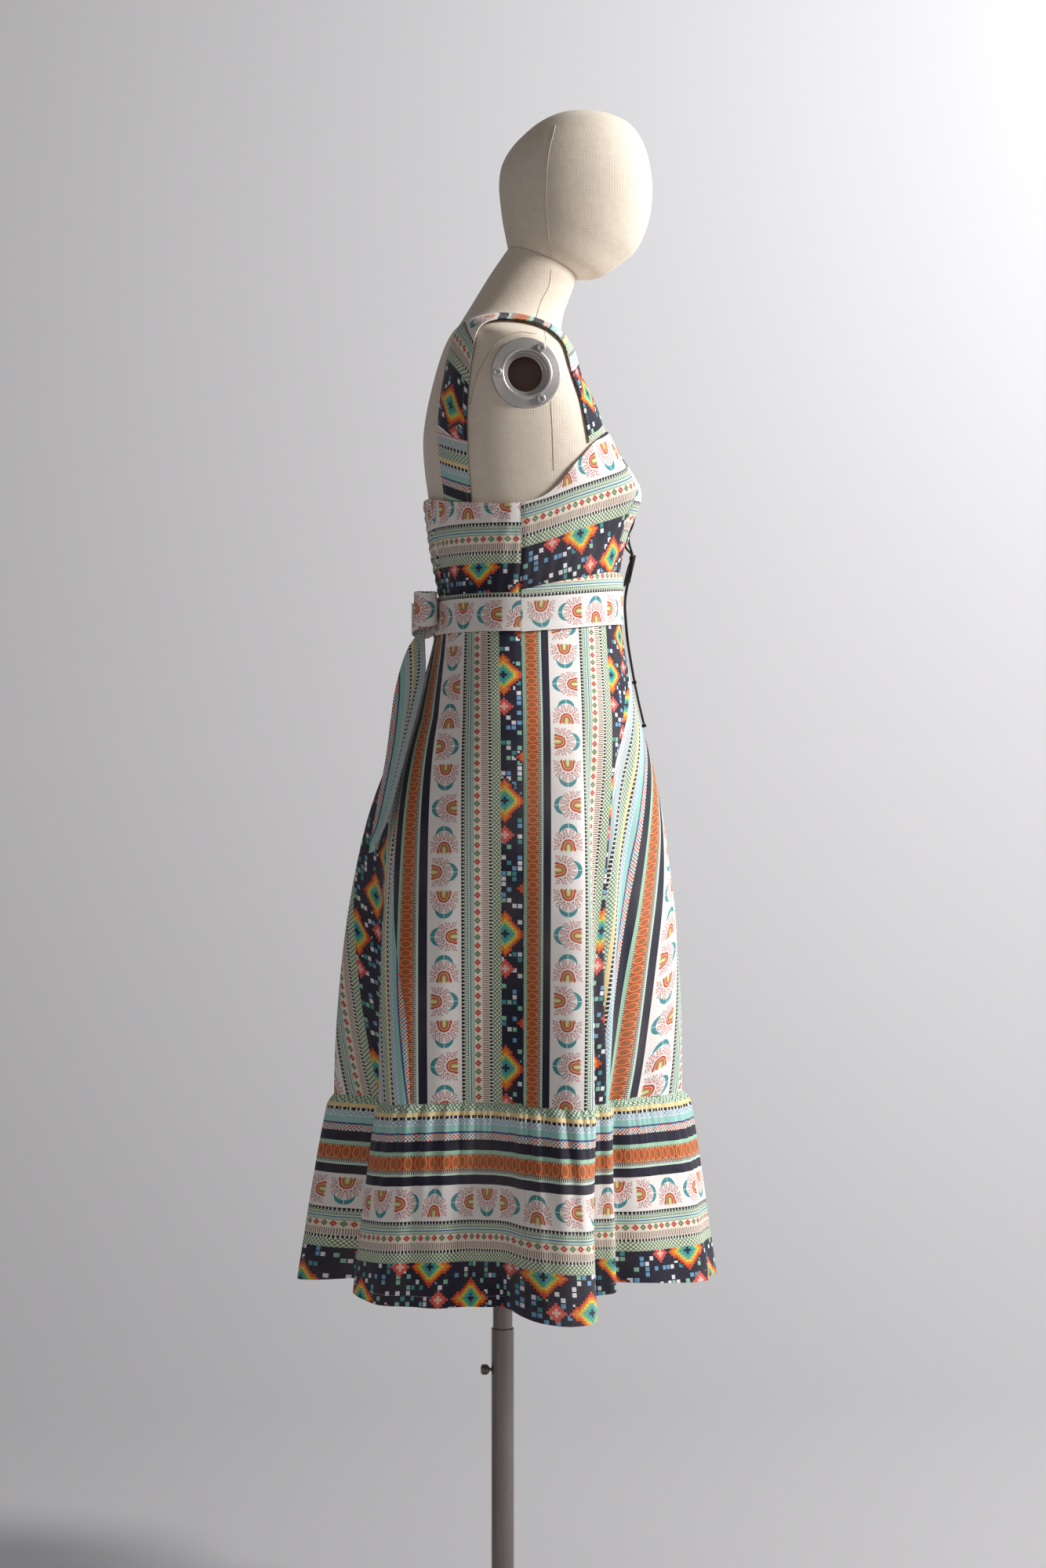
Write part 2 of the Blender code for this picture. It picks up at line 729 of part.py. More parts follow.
def build_torso(material, parts, cutters):
    """Torso and neck in one, drilled for the mast and for the two arm sockets."""
    rings = []
    for row in TORSO:
        rings.append([torso_point(a, row[0]) for a in steps(0.0, 360.0, FORM_SIDES)[:-1]])
    foot = [
        p.lerp(Vector((0.0, BODY_AXIS_Y, p.z)), 0.05) - Vector((0.0, 0.0, 0.004))
        for p in rings[0]
    ]
    rings.insert(0, foot)
    for number, section in enumerate(NECK):
        rings.append(tipped_ring(*section, 2.3 if number < 2 else 2.05))
    torso = ring_loft("form_torso", rings, material, parts)

    socket = cylinder("mast_socket_cutter", MAST_SOCKET, 0.12, None, cutters)
    socket.location = (0.0, 0.0, MAST_TOP + 0.0004 - 0.06)
    subtract(torso, socket)
    for side in (-1, 1):
        frame = socket_frame(side)
        name = "right" if side < 0 else "left"
        seat = cylinder(f"flange_cutter_{name}", SOCKET_FLANGE + 0.0004, 0.05, None, cutters, 32)
        seat.matrix_world = frame @ Matrix.Translation((0.0, 0.0, 0.025 - 0.0004))
        subtract(torso, seat)
        hole = cylinder(f"cup_cutter_{name}", SOCKET_CUP + 0.0024, 0.06, None, cutters, 20)
        hole.matrix_world = frame @ Matrix.Translation((0.0, 0.0, 0.0296 - SOCKET_DEPTH))
        subtract(torso, hole)
    return torso


def socket_frame(side):
    """Place of an arm socket: its own Z points out of the form. Side is -1 at the figure's right."""
    centre = Vector((SOCKET_CENTRE.x * -side, SOCKET_CENTRE.y, SOCKET_CENTRE.z))
    out = Vector((side * math.cos(SOCKET_TURN), -math.sin(SOCKET_TURN), 0.0))
    turn = out.to_track_quat("Z", "Y").to_matrix().to_4x4()
    return Matrix.Translation(centre) @ turn


def build_head(material, parts):
    ring_loft("form_head", [tipped_ring(*section, 2.05) for section in HEAD], material, parts)


def build_arm_socket(side, metal, parts):
    """A turned flange with a deep cup, and its three screws."""
    name = "right" if side < 0 else "left"
    frame = socket_frame(side)
    profile = [
        (SOCKET_FLANGE - 0.0012, 0.0040),
        (SOCKET_FLANGE, 0.0026),
        (SOCKET_FLANGE, 0.0000),
        (SOCKET_CUP + 0.0020, 0.0000),
        (SOCKET_CUP + 0.0020, -SOCKET_DEPTH),
        (0.0, -SOCKET_DEPTH),
        (0.0, -SOCKET_DEPTH + 0.0024),
        (SOCKET_CUP - 0.0060, -SOCKET_DEPTH + 0.0024),
        (SOCKET_CUP - 0.0060, -0.0060),
        (SOCKET_CUP - 0.0006, -0.0060),
        (SOCKET_CUP, 0.0036),
        (SOCKET_CUP + 0.0012, 0.0046),
        (SOCKET_CUP + 0.0036, 0.0040),
    ]
    socket = turned_object(f"arm_socket_{name}", profile, metal, parts, 18)
    socket.matrix_world = frame
    for number in range(3):
        around = math.radians(180.0 + 120.0 * number)
        screw = turned_object(
            f"arm_screw_{name}_{number + 1}",
            [
                (SCREW_HEAD - 0.0012, SCREW_HEIGHT),
                (SCREW_HEAD, SCREW_HEIGHT - 0.0014),
                (SCREW_HEAD, 0.0),
                (0.0, 0.0),
                (0.0, SCREW_HEIGHT - 0.0018),
                (0.0026, SCREW_HEIGHT - 0.0018),
                (0.0026, SCREW_HEIGHT),
            ],
            metal,
            parts,
            8,
        )
        offset = Vector((math.cos(around), math.sin(around), 0.0)) * SCREW_CIRCLE
        screw.matrix_world = frame @ Matrix.Translation(offset + Vector((0.0, 0.0, SCREW_SEAT)))


def build_stand(steel, parts, cutters):
    cylinder_top = MAST_TOP
    mast = cylinder("mast", MAST_RADIUS, cylinder_top - MAST_BOTTOM, steel, parts)
    mast.location = (0.0, 0.0, (cylinder_top + MAST_BOTTOM) / 2)
    tube = turned_object(
        "stand_tube",
        [
            (STAND_RADIUS, STAND_TOP),
            (STAND_RADIUS, STAND_BOTTOM),
            (STAND_BORE, STAND_BOTTOM),
            (STAND_BORE, STAND_TOP),
        ],
        steel,
        parts,
    )
    hub_bore = STAND_RADIUS + 0.0003
    turned_object(
        "stand_hub",
        [
            (HUB_RADIUS * 0.62, HUB_TOP),
            (HUB_RADIUS * 0.78, HUB_TOP - 0.010),
            (HUB_RADIUS, 0.020),
            (HUB_RADIUS * 1.35, BASE_HEIGHT + 0.0034),
            (HUB_RADIUS * 1.35, BASE_HEIGHT + 0.0004),
            (hub_bore, BASE_HEIGHT + 0.0004),
            (hub_bore, HUB_TOP),
        ],
        steel,
        parts,
    )
    turned_object(
        "stand_base",
        [
            (0.0, BASE_HEIGHT),
            (HUB_RADIUS * 1.4, BASE_HEIGHT),
            (BASE_RADIUS - 0.010, BASE_HEIGHT - 0.0015),
            (BASE_RADIUS - 0.002, BASE_HEIGHT - 0.0035),
            (BASE_RADIUS, BASE_HEIGHT - 0.0065),
            (BASE_RADIUS - 0.001, 0.0),
            (0.0, 0.0),
        ],
        steel,
        parts,
        32,
    )
    out = Matrix.Rotation(math.radians(-90.0), 4, "X")  # the screw points to the back
    hole = cylinder("clamp_hole_cutter", CLAMP_SHAFT + 0.0004, 0.02, None, cutters, 16)
    hole.matrix_world = Matrix.Translation((0.0, STAND_RADIUS, CLAMP_HEIGHT)) @ out
    subtract(tube, hole)
    knob_start = STAND_RADIUS + 0.0030
    clamp = turned_object(
        "clamp_screw",
        [
            (0.0, knob_start + 0.0105),
            (CLAMP_KNOB - 0.0015, knob_start + 0.0105),
            (CLAMP_KNOB, knob_start + 0.0090),
            (CLAMP_KNOB, knob_start + 0.0020),
            (CLAMP_KNOB - 0.0020, knob_start),
            (CLAMP_SHAFT, knob_start),
            (CLAMP_SHAFT, MAST_RADIUS + 0.0004),
            (0.0, MAST_RADIUS + 0.0004),
        ],
        steel,
        parts,
        16,
    )
    clamp.matrix_world = Matrix.Translation((0.0, 0.0, CLAMP_HEIGHT)) @ out


def bodice_top(angle):
    return between(BODICE_TOP, abs(turn_between(angle, 0.0)))[0]


def bodice_rows(first_edge, last_edge, columns, levels):
    """Rows of a bodice panel between two seam lines, from the waist to the top edge."""
    rows = []
    for share in levels:
        row = []
        for across in steps(0.0, 1.0, columns):
            z = WAIST_SEAM + share * (1.45 - WAIST_SEAM)
            for _ in range(3):
                angle = first_edge(z) + (last_edge(z) - first_edge(z)) * across
                z = WAIST_SEAM + SEAM_GAP / 2 + share * (bodice_top(angle) - WAIST_SEAM)
            row.append(faced(bodice_point, angle, z))
        rows.append(row)
    return rows


def shirred(rows):
    """Small upright gathers in the elasticated centre back, shallower on the elastic rows."""
    gathers = 8
    count = len(rows[0]) - 1
    made = []
    for level, row in enumerate(rows):
        depth = 0.0014 if level % 2 else 0.0026
        new_row = []
        for i, (point, facing) in enumerate(row):
            wave = 0.5 - 0.5 * math.cos(2 * math.pi * gathers * i / count)
            new_row.append((point + facing * depth * wave, facing))
        made.append(new_row)
    return made


def build_bodice(cloth, parts):
    margin = seam_margin(0.14)

    def princess(z):
        return between(PRINCESS_SEAM, z)[0]

    levels = (0.0, 0.20, 0.40, 0.55, 0.70, 0.85, 1.0)
    centre = bodice_rows(
        lambda z: -princess(z) + margin, lambda z: princess(z) - margin, 10, levels
    )
    front_panel = cloth_object("bodice_front_center", centre, cloth, parts)
    front = bodice_rows(
        lambda z: princess(z) + margin, lambda z: SIDE_SEAM - margin, 10, levels
    )
    pair_of("bodice_front", front, cloth, parts)
    back_levels = (0.0, 0.25, 0.5, 0.75, 1.0)
    back = bodice_rows(
        lambda z: SIDE_SEAM + margin, lambda z: BACK_PANEL_SEAM - margin, 8, back_levels
    )
    pair_of("bodice_back", back, cloth, parts)
    centre_back = bodice_rows(
        lambda z: BACK_PANEL_SEAM + margin,
        lambda z: 360.0 - BACK_PANEL_SEAM - margin,
        24,
        back_levels,
    )
    cloth_object("bodice_back_center", shirred(centre_back), cloth, parts)
    return front_panel


def resting_place(form, guess):
    """The form's surface out past a rough point, and its facing, evened out over the facets close by."""
    core = Vector((guess.x * 0.6, BODY_AXIS_Y, min(guess.z, 1.600)))
    out = (guess - core).normalized()
    place, facing, _, _ = form.ray_cast(core + out * 0.4, -out)
    total = facing.copy()
    for offset in (0.009, -0.009):
        for axis in range(3):
            nearby = place.copy()
            nearby[axis] += offset
            total += form.find_nearest(nearby)[1]
    return place, total.normalized()


def strap_rows(edges, form, lift):
    """Rows across a strap between its two edges, laid on the form."""
    outer = smooth_route([row[:3] for row in edges], count=2 * len(edges))
    inner = smooth_route([row[3:] for row in edges], count=2 * len(edges))
    rows = []
    for a, b in zip(outer, inner):
        row = []
        for share in (0.0, 0.33, 0.67, 1.0):
            place, facing = resting_place(form, a.lerp(b, share))
            bridge = STRAP_BRIDGE * hump(place.z - 1.645, 0.060)
            row.append((place + facing * (lift + bridge), facing))
        rows.append(row)
    return rows


def build_straps(cloth, parts, torso):
    """Each strap is cut in two: one length over the shoulder, one short length down the back."""
    bpy.context.view_layer.update()
    form = BVHTree.FromObject(torso, bpy.context.evaluated_depsgraph_get())
    pair_of("strap_front", strap_rows(STRAP_FRONT, form, STRAP_LIFT), cloth, parts)
    pair_of("strap_back", strap_rows(STRAP_BACK, form, STRAP_BACK_LIFT), cloth, parts)


def band_point(angle, z):
    """The inside of a band that lies on both the bodice and the top of the skirt."""
    body = torso_radius(angle, z) + cup_rise(angle, z) + BODICE_EASE
    skirt = skirt_radius(angle, min(z, WAIST_SEAM))
    return round_axis(angle, z, max(body, skirt) + WALL + LAYER_GAP)


def band_rows(start, end, columns, top, bottom):
    """Rows of a band round the waist, from its lower edge to its upper edge."""
    rows = []
    for share in (0.0, 0.5, 1.0):
        row = []
        for angle in steps(start, end, columns):
            z = bottom(angle) + (top(angle) - bottom(angle)) * share
            row.append(faced(band_point, angle, z))
        rows.append(row)
    return rows


def build_waistband(cloth, parts):
    def top(angle):
        return between(BAND_TOP, abs(turn_between(angle, 0.0)))[0]

    def bottom(angle):
        return between(BAND_BOTTOM, abs(turn_between(angle, 0.0)))[0]

    margin = seam_margin(0.14)
    rows = band_rows(-SIDE_SEAM + margin, SIDE_SEAM - margin, 28, top, bottom)
    cloth_object("waistband_front", rows, cloth, parts)


def build_sash(cloth, parts):
    """The sash is sewn into the side seams and runs back to the knot, where it closes in."""

    def closing(angle):
        return SASH_PINCH * max(0.0, (angle - 158.0) / (SASH_END_ANGLE - 158.0)) ** 1.5

    margin = seam_margin(0.14)
    rows = band_rows(
        SIDE_SEAM + margin,
        SASH_END_ANGLE,
        12,
        lambda angle: SASH_TOP - closing(angle),
        lambda angle: SASH_BOTTOM + closing(angle),
    )
    pair_of("sash", rows, cloth, parts)


def loop_rows(rise):
    """A loop of the bow: a band that leaves the knot, turns over and comes back to it."""
    rows = []
    for across in (-0.5, -0.17, 0.17, 0.5):
        row = []
        for share in steps(0.0, 1.0, 14):
            turn = 2 * math.pi * share
            out = (1 - math.cos(turn)) / 2
            reach = KNOT_SIZE.x / 2 + 0.0011 + (LOOP_LENGTH - 0.010) * out**0.8
            open_out = math.sin(turn) * (0.25 + 0.75 * out) * LOOP_DEPTH / 1.55
            width = LOOP_PINCH + (LOOP_WIDTH - LOOP_PINCH) * out**0.7
            apart = 0.0026 if share < 0.5 else -0.0026
            y = BOW_CENTRE.y + 0.001 + open_out + apart * (1 - out)
            z = BOW_CENTRE.z + rise * out - 0.010 * out**3 + across * width
            row.append(Vector((-reach, y, z)))
        rows.append(row)
    return facing_rows(rows)


def tail_rows(longer):
    """A tail of the bow, a soft S across its width, from under the knot to its slanted end."""
    rows = []
    last = TAIL[-1][0]
    for z, outer_x, outer_y, inner_x, inner_y in reversed(TAIL):
        fallen = (TAIL[0][0] - z) / (TAIL[0][0] - last)
        row = []
        for share in (0.0, 0.2, 0.4, 0.6, 0.8, 1.0):
            x = inner_x + (outer_x - inner_x) * share
            y = inner_y + (outer_y - inner_y) * share
            sway = 0.0045 * math.sin(2 * math.pi * share + 0.6) * min(1.0, 3 * fallen)
            slant = 0.014 * share * fallen**4
            drop = longer * fallen
            outwards = Vector((x, y - BODY_AXIS_Y, 0.0)).normalized() * 0.10 * drop
            row.append(Vector((x - 0.5 * sway, y + sway, z - slant - drop)) + outwards)
        rows.append(row)
    return facing_rows(rows)


def build_bow(cloth, parts):
    mesh = bmesh.new()
    bmesh.ops.create_cube(mesh, size=1.0)
    bmesh.ops.scale(mesh, vec=KNOT_SIZE, verts=mesh.verts)
    data = bpy.data.meshes.new("bow_knot")
    mesh.to_mesh(data)
    mesh.free()
    knot = add_object("bow_knot", data, cloth, parts)
    knot.location = BOW_CENTRE
    rounding = knot.modifiers.new("soft corners", "BEVEL")
    rounding.width = 0.006
    rounding.segments = 2
    cloth_object("bow_loop_right", loop_rows(LOOP_RISE), cloth, parts)
    cloth_object("bow_loop_left", mirrored(loop_rows(LOOP_RISE / 2)), cloth, parts)
    cloth_object("bow_tail_right", tail_rows(0.0), cloth, parts)
    cloth_object("bow_tail_left", mirrored(tail_rows(TAIL_LEFT_LONGER)), cloth, parts)


def build_skirt(cloth, parts):
    """Eight panels: a straight one at each side of both side seams, and a split gore front and back."""
    margin = seam_margin(0.15)

    def front_gore(z):
        return between(FRONT_GORE_SEAM, z)[0]

    def back_gore(z):
        return 180.0 - between(BACK_GORE_SEAM, z)[0]

    panels = (
        ("skirt_front_gore", lambda z: 0.0, front_gore, 11),
        ("skirt_front_side", front_gore, lambda z: SIDE_SEAM, 9),
        ("skirt_back_side", lambda z: SIDE_SEAM, back_gore, 8),
        ("skirt_back_gore", back_gore, lambda z: 180.0, 9),
    )
    shares = (0.0, 0.14, 0.29, 0.44, 0.58, 0.70, 0.80, 0.89, 0.955, 1.0)
    top = WAIST_SEAM - SEAM_GAP / 2
    for name, first_edge, last_edge, columns in panels:
        for side in ("right", "left"):
            rows = []
            for share in shares:
                row = []
                for across in steps(0.0, 1.0, columns):
                    z = FLOUNCE_SEAM + (top - FLOUNCE_SEAM) * share
                    first, last = first_edge(z) + margin, last_edge(z) - margin
                    angle = first + (last - first) * across
                    if side == "left":
                        angle = 360.0 - angle
                    z += (seam_level(angle) - FLOUNCE_SEAM) * (1.0 - share)
                    row.append(faced(skirt_point, angle, z))
                rows.append(row)
            cloth_object(f"{name}_{side}", rows, cloth, parts)


def build_flounce(cloth, parts):
    """Four widths of cloth, gathered into the skirt's lower edge and falling free to the hem."""
    margin = seam_margin(0.22)
    dense = 3 * GATHERS // 4  # three columns to a gather near the seam
    levels = ((1.0, dense // 2), (0.60, dense // 2), (0.26, dense // 2), (0.08, dense), (0.0, dense))
    for name, start in (
        ("flounce_front_right", 0.0),
        ("flounce_back_right", 90.0),
        ("flounce_back_left", 180.0),
        ("flounce_front_left", 270.0),
    ):
        rows = []
        for share, columns in levels:
            angles = steps(start + margin, start + 90.0 - margin, columns)
            rows.append([faced(flounce_point_up, a, 1.0 - share) for a in angles])
        cloth_object(name, rows, cloth, parts)


def flounce_point_up(angle, raised):
    """The flounce again, by the share of the way up from the hem to its seam."""
    return flounce_point(angle, 1.0 - raised)


def build_lacing(cord, metal, parts, bodice):
    """Eyelets, the crossed lace between them, its bow and its two free ends."""
    surface = BVHTree.FromObject(bodice, bpy.context.evaluated_depsgraph_get())
    spots = {}
    for side, angle in (("right", EYELET_ANGLE), ("left", -EYELET_ANGLE)):
        for number, z in enumerate(EYELET_HEIGHTS):
            spot, facing = faced(bodice_point, angle, z)
            spot, facing, _, _ = surface.ray_cast(spot + facing * 0.05, -facing)
            spots[side, number] = (spot, facing)
            ring = eyelet(f"eyelet_{side}_{number + 1}", metal, parts)
            turn = facing.to_track_quat("Z", "Y").to_matrix().to_4x4()
            ring.matrix_world = Matrix.Translation(spot + facing * (EYELET_WIRE + EYELET_LIFT)) @ turn
    for name, side, height in (("lace_under", "right", LACE_UNDER), ("lace_over", "left", LACE_OVER)):
        points = []
        for number in range(len(EYELET_HEIGHTS)):
            spot, facing = spots[side, number]
            points.append(spot + facing * height)
            side = "left" if side == "right" else "right"
        middles = [
            (a + b) / 2 + Vector((0.0, -0.0012, 0.0)) for a, b in zip(points, points[1:])
        ]
        route = [points[0]]
        for middle, point in zip(middles, points[1:]):
            route += [middle, point]
        inward = -0.0026 if points[-1].x < 0 else 0.0026
        route.append(LACE_KNOT + Vector((inward, 0.0, 0.0054)))
        cord_object(name, smooth_route(route, count=17), cord, parts)
    ball("lace_knot", LACE_KNOT, LACE_KNOT_RADIUS, cord, parts, (1.20, 0.75, 1.0))
    cord_object("lace_loop_right", smooth_route(LACE_LOOP, count=10), cord, parts)
    left_loop = [(-x, y, z) for x, y, z in LACE_LOOP]
    cord_object("lace_loop_left", smooth_route(left_loop, count=10), cord, parts)
    for name, line in (("lace_end_long", LACE_LONG), ("lace_end_short", LACE_SHORT)):
        cord_object(name, smooth_route(line, count=3 * len(line) // 2), cord, parts)
        end = Vector(line[-1])
        fall = (end - Vector(line[-2])).normalized()
        ball(f"{name}_knot", end + fall * (LACE_END_KNOT + 0.0004), LACE_END_KNOT, cord, parts)


def eyelet(name, metal, parts):
    mesh = bpy.data.meshes.get("eyelet")
    if mesh is None:
        bpy.ops.mesh.primitive_torus_add(
            major_segments=10,
            minor_segments=4,
            major_radius=EYELET_RADIUS,
            minor_radius=EYELET_WIRE,
        )
        made = bpy.context.object
        mesh = made.data
        mesh.name = "eyelet"
        bpy.data.objects.remove(made)
        mesh.materials.append(metal)
    ring = bpy.data.objects.new(name, mesh)
    parts.objects.link(ring)
    return ring


def main():
    clear_scene()
    parts = bpy.data.collections.new("day_dress_on_form")
    cutters = bpy.data.collections.new("cutters")
    bpy.context.scene.collection.children.link(parts)
    bpy.context.scene.collection.children.link(cutters)

    cloth = make_material("printed cotton", (0.52, 0.45, 0.38), 0.85)
    linen = make_material("form linen", (0.62, 0.53, 0.44), 0.90)
    steel = make_material("stand steel", (0.30, 0.27, 0.25), 0.35, 1.0)
    alloy = make_material("socket alloy", (0.55, 0.53, 0.55), 0.40, 1.0)
    black = make_material("black cord", (0.012, 0.012, 0.015), 0.80)

    torso = build_torso(linen, parts, cutters)
    build_head(linen, parts)
    build_arm_socket(-1, alloy, parts)
    build_arm_socket(1, alloy, parts)
    build_stand(steel, parts, cutters)
    front_panel = build_bodice(cloth, parts)
    build_straps(cloth, parts, torso)
    build_waistband(cloth, parts)
    build_sash(cloth, parts)
    build_bow(cloth, parts)
    build_skirt(cloth, parts)
    build_flounce(cloth, parts)
    build_lacing(black, alloy, parts, front_panel)


main()
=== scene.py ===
# %% [markdown]
# A sleeveless day dress in a striped folk print, laced at the front, tied in a bow at the back, and shown
# on a linen dress form that stands on a metal pole. The CAD parts come in first. They are thick, plain
# walls, so each piece of cloth gets a thin, finer shell here, worked out by the same rules and laid over
# its own part.

import math

import bmesh
import bpy
import numpy as np
from mathutils import Matrix, Vector
from mathutils.bvhtree import BVHTree


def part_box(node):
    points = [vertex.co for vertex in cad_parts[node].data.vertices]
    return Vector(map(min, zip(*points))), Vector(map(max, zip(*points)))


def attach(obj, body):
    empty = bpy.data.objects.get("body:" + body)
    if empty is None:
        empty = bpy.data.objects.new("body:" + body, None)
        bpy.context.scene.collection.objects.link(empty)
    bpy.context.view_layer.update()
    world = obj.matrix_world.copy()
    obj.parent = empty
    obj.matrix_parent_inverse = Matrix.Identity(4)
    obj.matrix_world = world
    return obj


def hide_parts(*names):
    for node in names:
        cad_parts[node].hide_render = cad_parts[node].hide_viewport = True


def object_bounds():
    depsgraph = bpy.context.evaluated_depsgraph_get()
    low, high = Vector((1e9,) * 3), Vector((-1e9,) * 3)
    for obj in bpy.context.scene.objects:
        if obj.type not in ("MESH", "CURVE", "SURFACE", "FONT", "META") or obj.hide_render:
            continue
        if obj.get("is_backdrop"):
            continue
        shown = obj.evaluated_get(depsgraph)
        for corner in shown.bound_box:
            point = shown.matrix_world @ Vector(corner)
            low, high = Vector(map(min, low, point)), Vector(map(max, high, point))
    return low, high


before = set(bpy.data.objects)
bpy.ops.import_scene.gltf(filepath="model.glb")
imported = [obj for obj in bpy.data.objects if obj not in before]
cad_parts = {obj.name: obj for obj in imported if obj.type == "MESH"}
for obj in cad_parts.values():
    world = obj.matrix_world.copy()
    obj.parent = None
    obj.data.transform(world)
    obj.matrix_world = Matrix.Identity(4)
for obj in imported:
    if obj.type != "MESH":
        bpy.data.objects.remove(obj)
cad_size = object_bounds()
print("parts:", len(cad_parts), "box:", cad_size)

# %% [markdown]
# The camera stands level at the figure's right side, a little behind it, so the dress is seen in profile.
# A long lens from 3.3 metres keeps the upright lines straight.

# %% Camera
CAMERA_TURN = 266.0
CAMERA_AIM = Vector((0.0, -0.026, 1.09))
CAMERA_DISTANCE = 3.3
camera_data = bpy.data.cameras.new("camera")
camera_data.sensor_width = 36.0
camera_data.lens = 59.4
camera = bpy.data.objects.new("camera", camera_data)
bpy.context.scene.collection.objects.link(camera)
turn = math.radians(CAMERA_TURN)
away = Vector((math.sin(turn), -math.cos(turn), 0.0))
camera.location = CAMERA_AIM + away * CAMERA_DISTANCE
camera.rotation_euler = (-away).to_track_quat("-Z", "Y").to_euler()
bpy.context.scene.camera = camera
bpy.context.scene.view_settings.view_transform = "Standard"
print("camera at", tuple(round(v, 3) for v in camera.location))

# %% [markdown]
# A finish is a tree of shader nodes. The print of this cloth is drawn by arithmetic, so a small helper
# lets a tree be written as sums: each step on a Sum makes one Math node, and a step on two of them joins
# them.


# %% Writing node trees as sums
class Sum:
    """The output of a node, which can be added, multiplied, compared or folded into the next node."""

    def __init__(self, tree, socket):
        self.tree, self.socket = tree, socket

    def step(self, operation, *others, clamp=False):
        node = self.tree.nodes.new("ShaderNodeMath")
        node.operation, node.use_clamp = operation, clamp
        for place, value in zip(node.inputs, (self, *others)):
            if isinstance(value, Sum):
                self.tree.links.new(value.socket, place)
            else:
                place.default_value = value
        return Sum(self.tree, node.outputs[0])

    def __add__(self, other):
        return self.step("ADD", other)

    def __sub__(self, other):
        return self.step("SUBTRACT", other)

    def __mul__(self, other):
        return self.step("MULTIPLY", other)

    def __truediv__(self, other):
        return self.step("DIVIDE", other)

    def over(self, other):
        return self.step("GREATER_THAN", other)

    def under(self, other):
        return self.step("LESS_THAN", other)

    def size(self):
        return self.step("ABSOLUTE")

    def floor(self):
        return self.step("FLOOR")

    def wave(self):
        return self.step("SINE")

    def either(self, other):
        return self.step("MAXIMUM", other)

    def both(self, other):
        return self.step("MINIMUM", other)

    def around(self, pitch):
        """How far from the middle of a repeat, from -pitch/2 to pitch/2."""
        return self.step("FLOORED_MODULO", pitch) - pitch / 2

    def inside(self, low, high):
        return self.over(low) * self.under(high)


def linear(colour):
    """A colour given as 0 to 255, in the linear values that shaders take."""
    made = []
    for value in colour:
        v = value / 255
        made.append(v / 12.92 if v <= 0.04045 else ((v + 0.055) / 1.055) ** 2.4)
    return (*made, 1.0)


def mixed(tree, share, under, over):
    """The over colour where share is 1, and the under colour where it is 0."""
    node = tree.nodes.new("ShaderNodeMix")
    node.data_type = "RGBA"
    for place, value in ((0, share), (6, under), (7, over)):
        if isinstance(value, Sum):
            tree.links.new(value.socket, node.inputs[place])
        elif place == 0:
            node.inputs[place].default_value = value
        else:
            node.inputs[place].default_value = value if len(value) == 4 else linear(value)
    return Sum(tree, node.outputs[2])


def chance(tree, *values, seed=0.0):
    """A fixed random number from 0 to 1 for each pair of whole numbers."""
    joined = tree.nodes.new("ShaderNodeCombineXYZ")
    for place, value in zip(joined.inputs, values):
        tree.links.new(value.socket, place)
    joined.inputs[2].default_value = seed
    node = tree.nodes.new("ShaderNodeTexWhiteNoise")
    node.noise_dimensions = "3D"
    tree.links.new(joined.outputs[0], node.inputs["Vector"])
    return Sum(tree, node.outputs["Value"])


print("node helpers ready")

# %% [markdown]
# The cloth is printed with a border stripe that repeats every 288 mm. It is a common kind of folk stripe:
# bands of sprigs, teeth, diamonds, combs, lattice, checks, brocade ovals and a mosaic of stepped diamonds
# on navy. One group draws it from two distances in millimetres, across and along the bands, so every
# piece can use the same group and lay it on its own grain. Plain bands come from a stepped colour ramp,
# and each motif is added in its own band.

# %% The ground colours of the bands
REPEAT = 288.5
WHITE, CREAM, NAVY, MINT = (252, 247, 245), (248, 222, 168), (24, 24, 50), (172, 216, 190)
BANDS = [
    # where it starts in millimetres, ground colour
    (0.0, WHITE),  # floral
    (42.0, (232, 236, 222)),  # teeth
    (46.5, (126, 166, 140)),  # ladder
    (50.5, (206, 228, 214)),
    (52.5, (58, 100, 172)),  # blue line
    (53.9, (190, 222, 202)),
    (57.0, (250, 238, 224)),  # diamond chain and comb
    (76.0, (240, 242, 232)),  # ticks
    (80.0, (178, 204, 166)),  # green lattice
    (91.0, NAVY),  # mosaic
    (169.0, (252, 248, 248)),  # white with a pink line
    (171.4, (232, 132, 146)),
    (172.8, (252, 248, 248)),
    (175.0, (222, 232, 232)),  # hatch
    (185.0, (246, 244, 240)),  # ticks
    (189.5, (162, 194, 162)),  # dotted lattice
    (201.0, CREAM),
    (206.5, (246, 244, 240)),  # ticks
    (210.0, (222, 232, 238)),  # zigzag
    (216.5, (164, 214, 208)),
    (225.0, (52, 78, 140)),
    (226.7, (250, 240, 228)),  # check
    (235.5, NAVY),
    (247.5, MINT),
    (252.5, (202, 84, 44)),  # brocade
    (270.5, (214, 234, 220)),  # mint with pins
    (276.5, NAVY),
]
print("bands in a repeat:", len(BANDS))


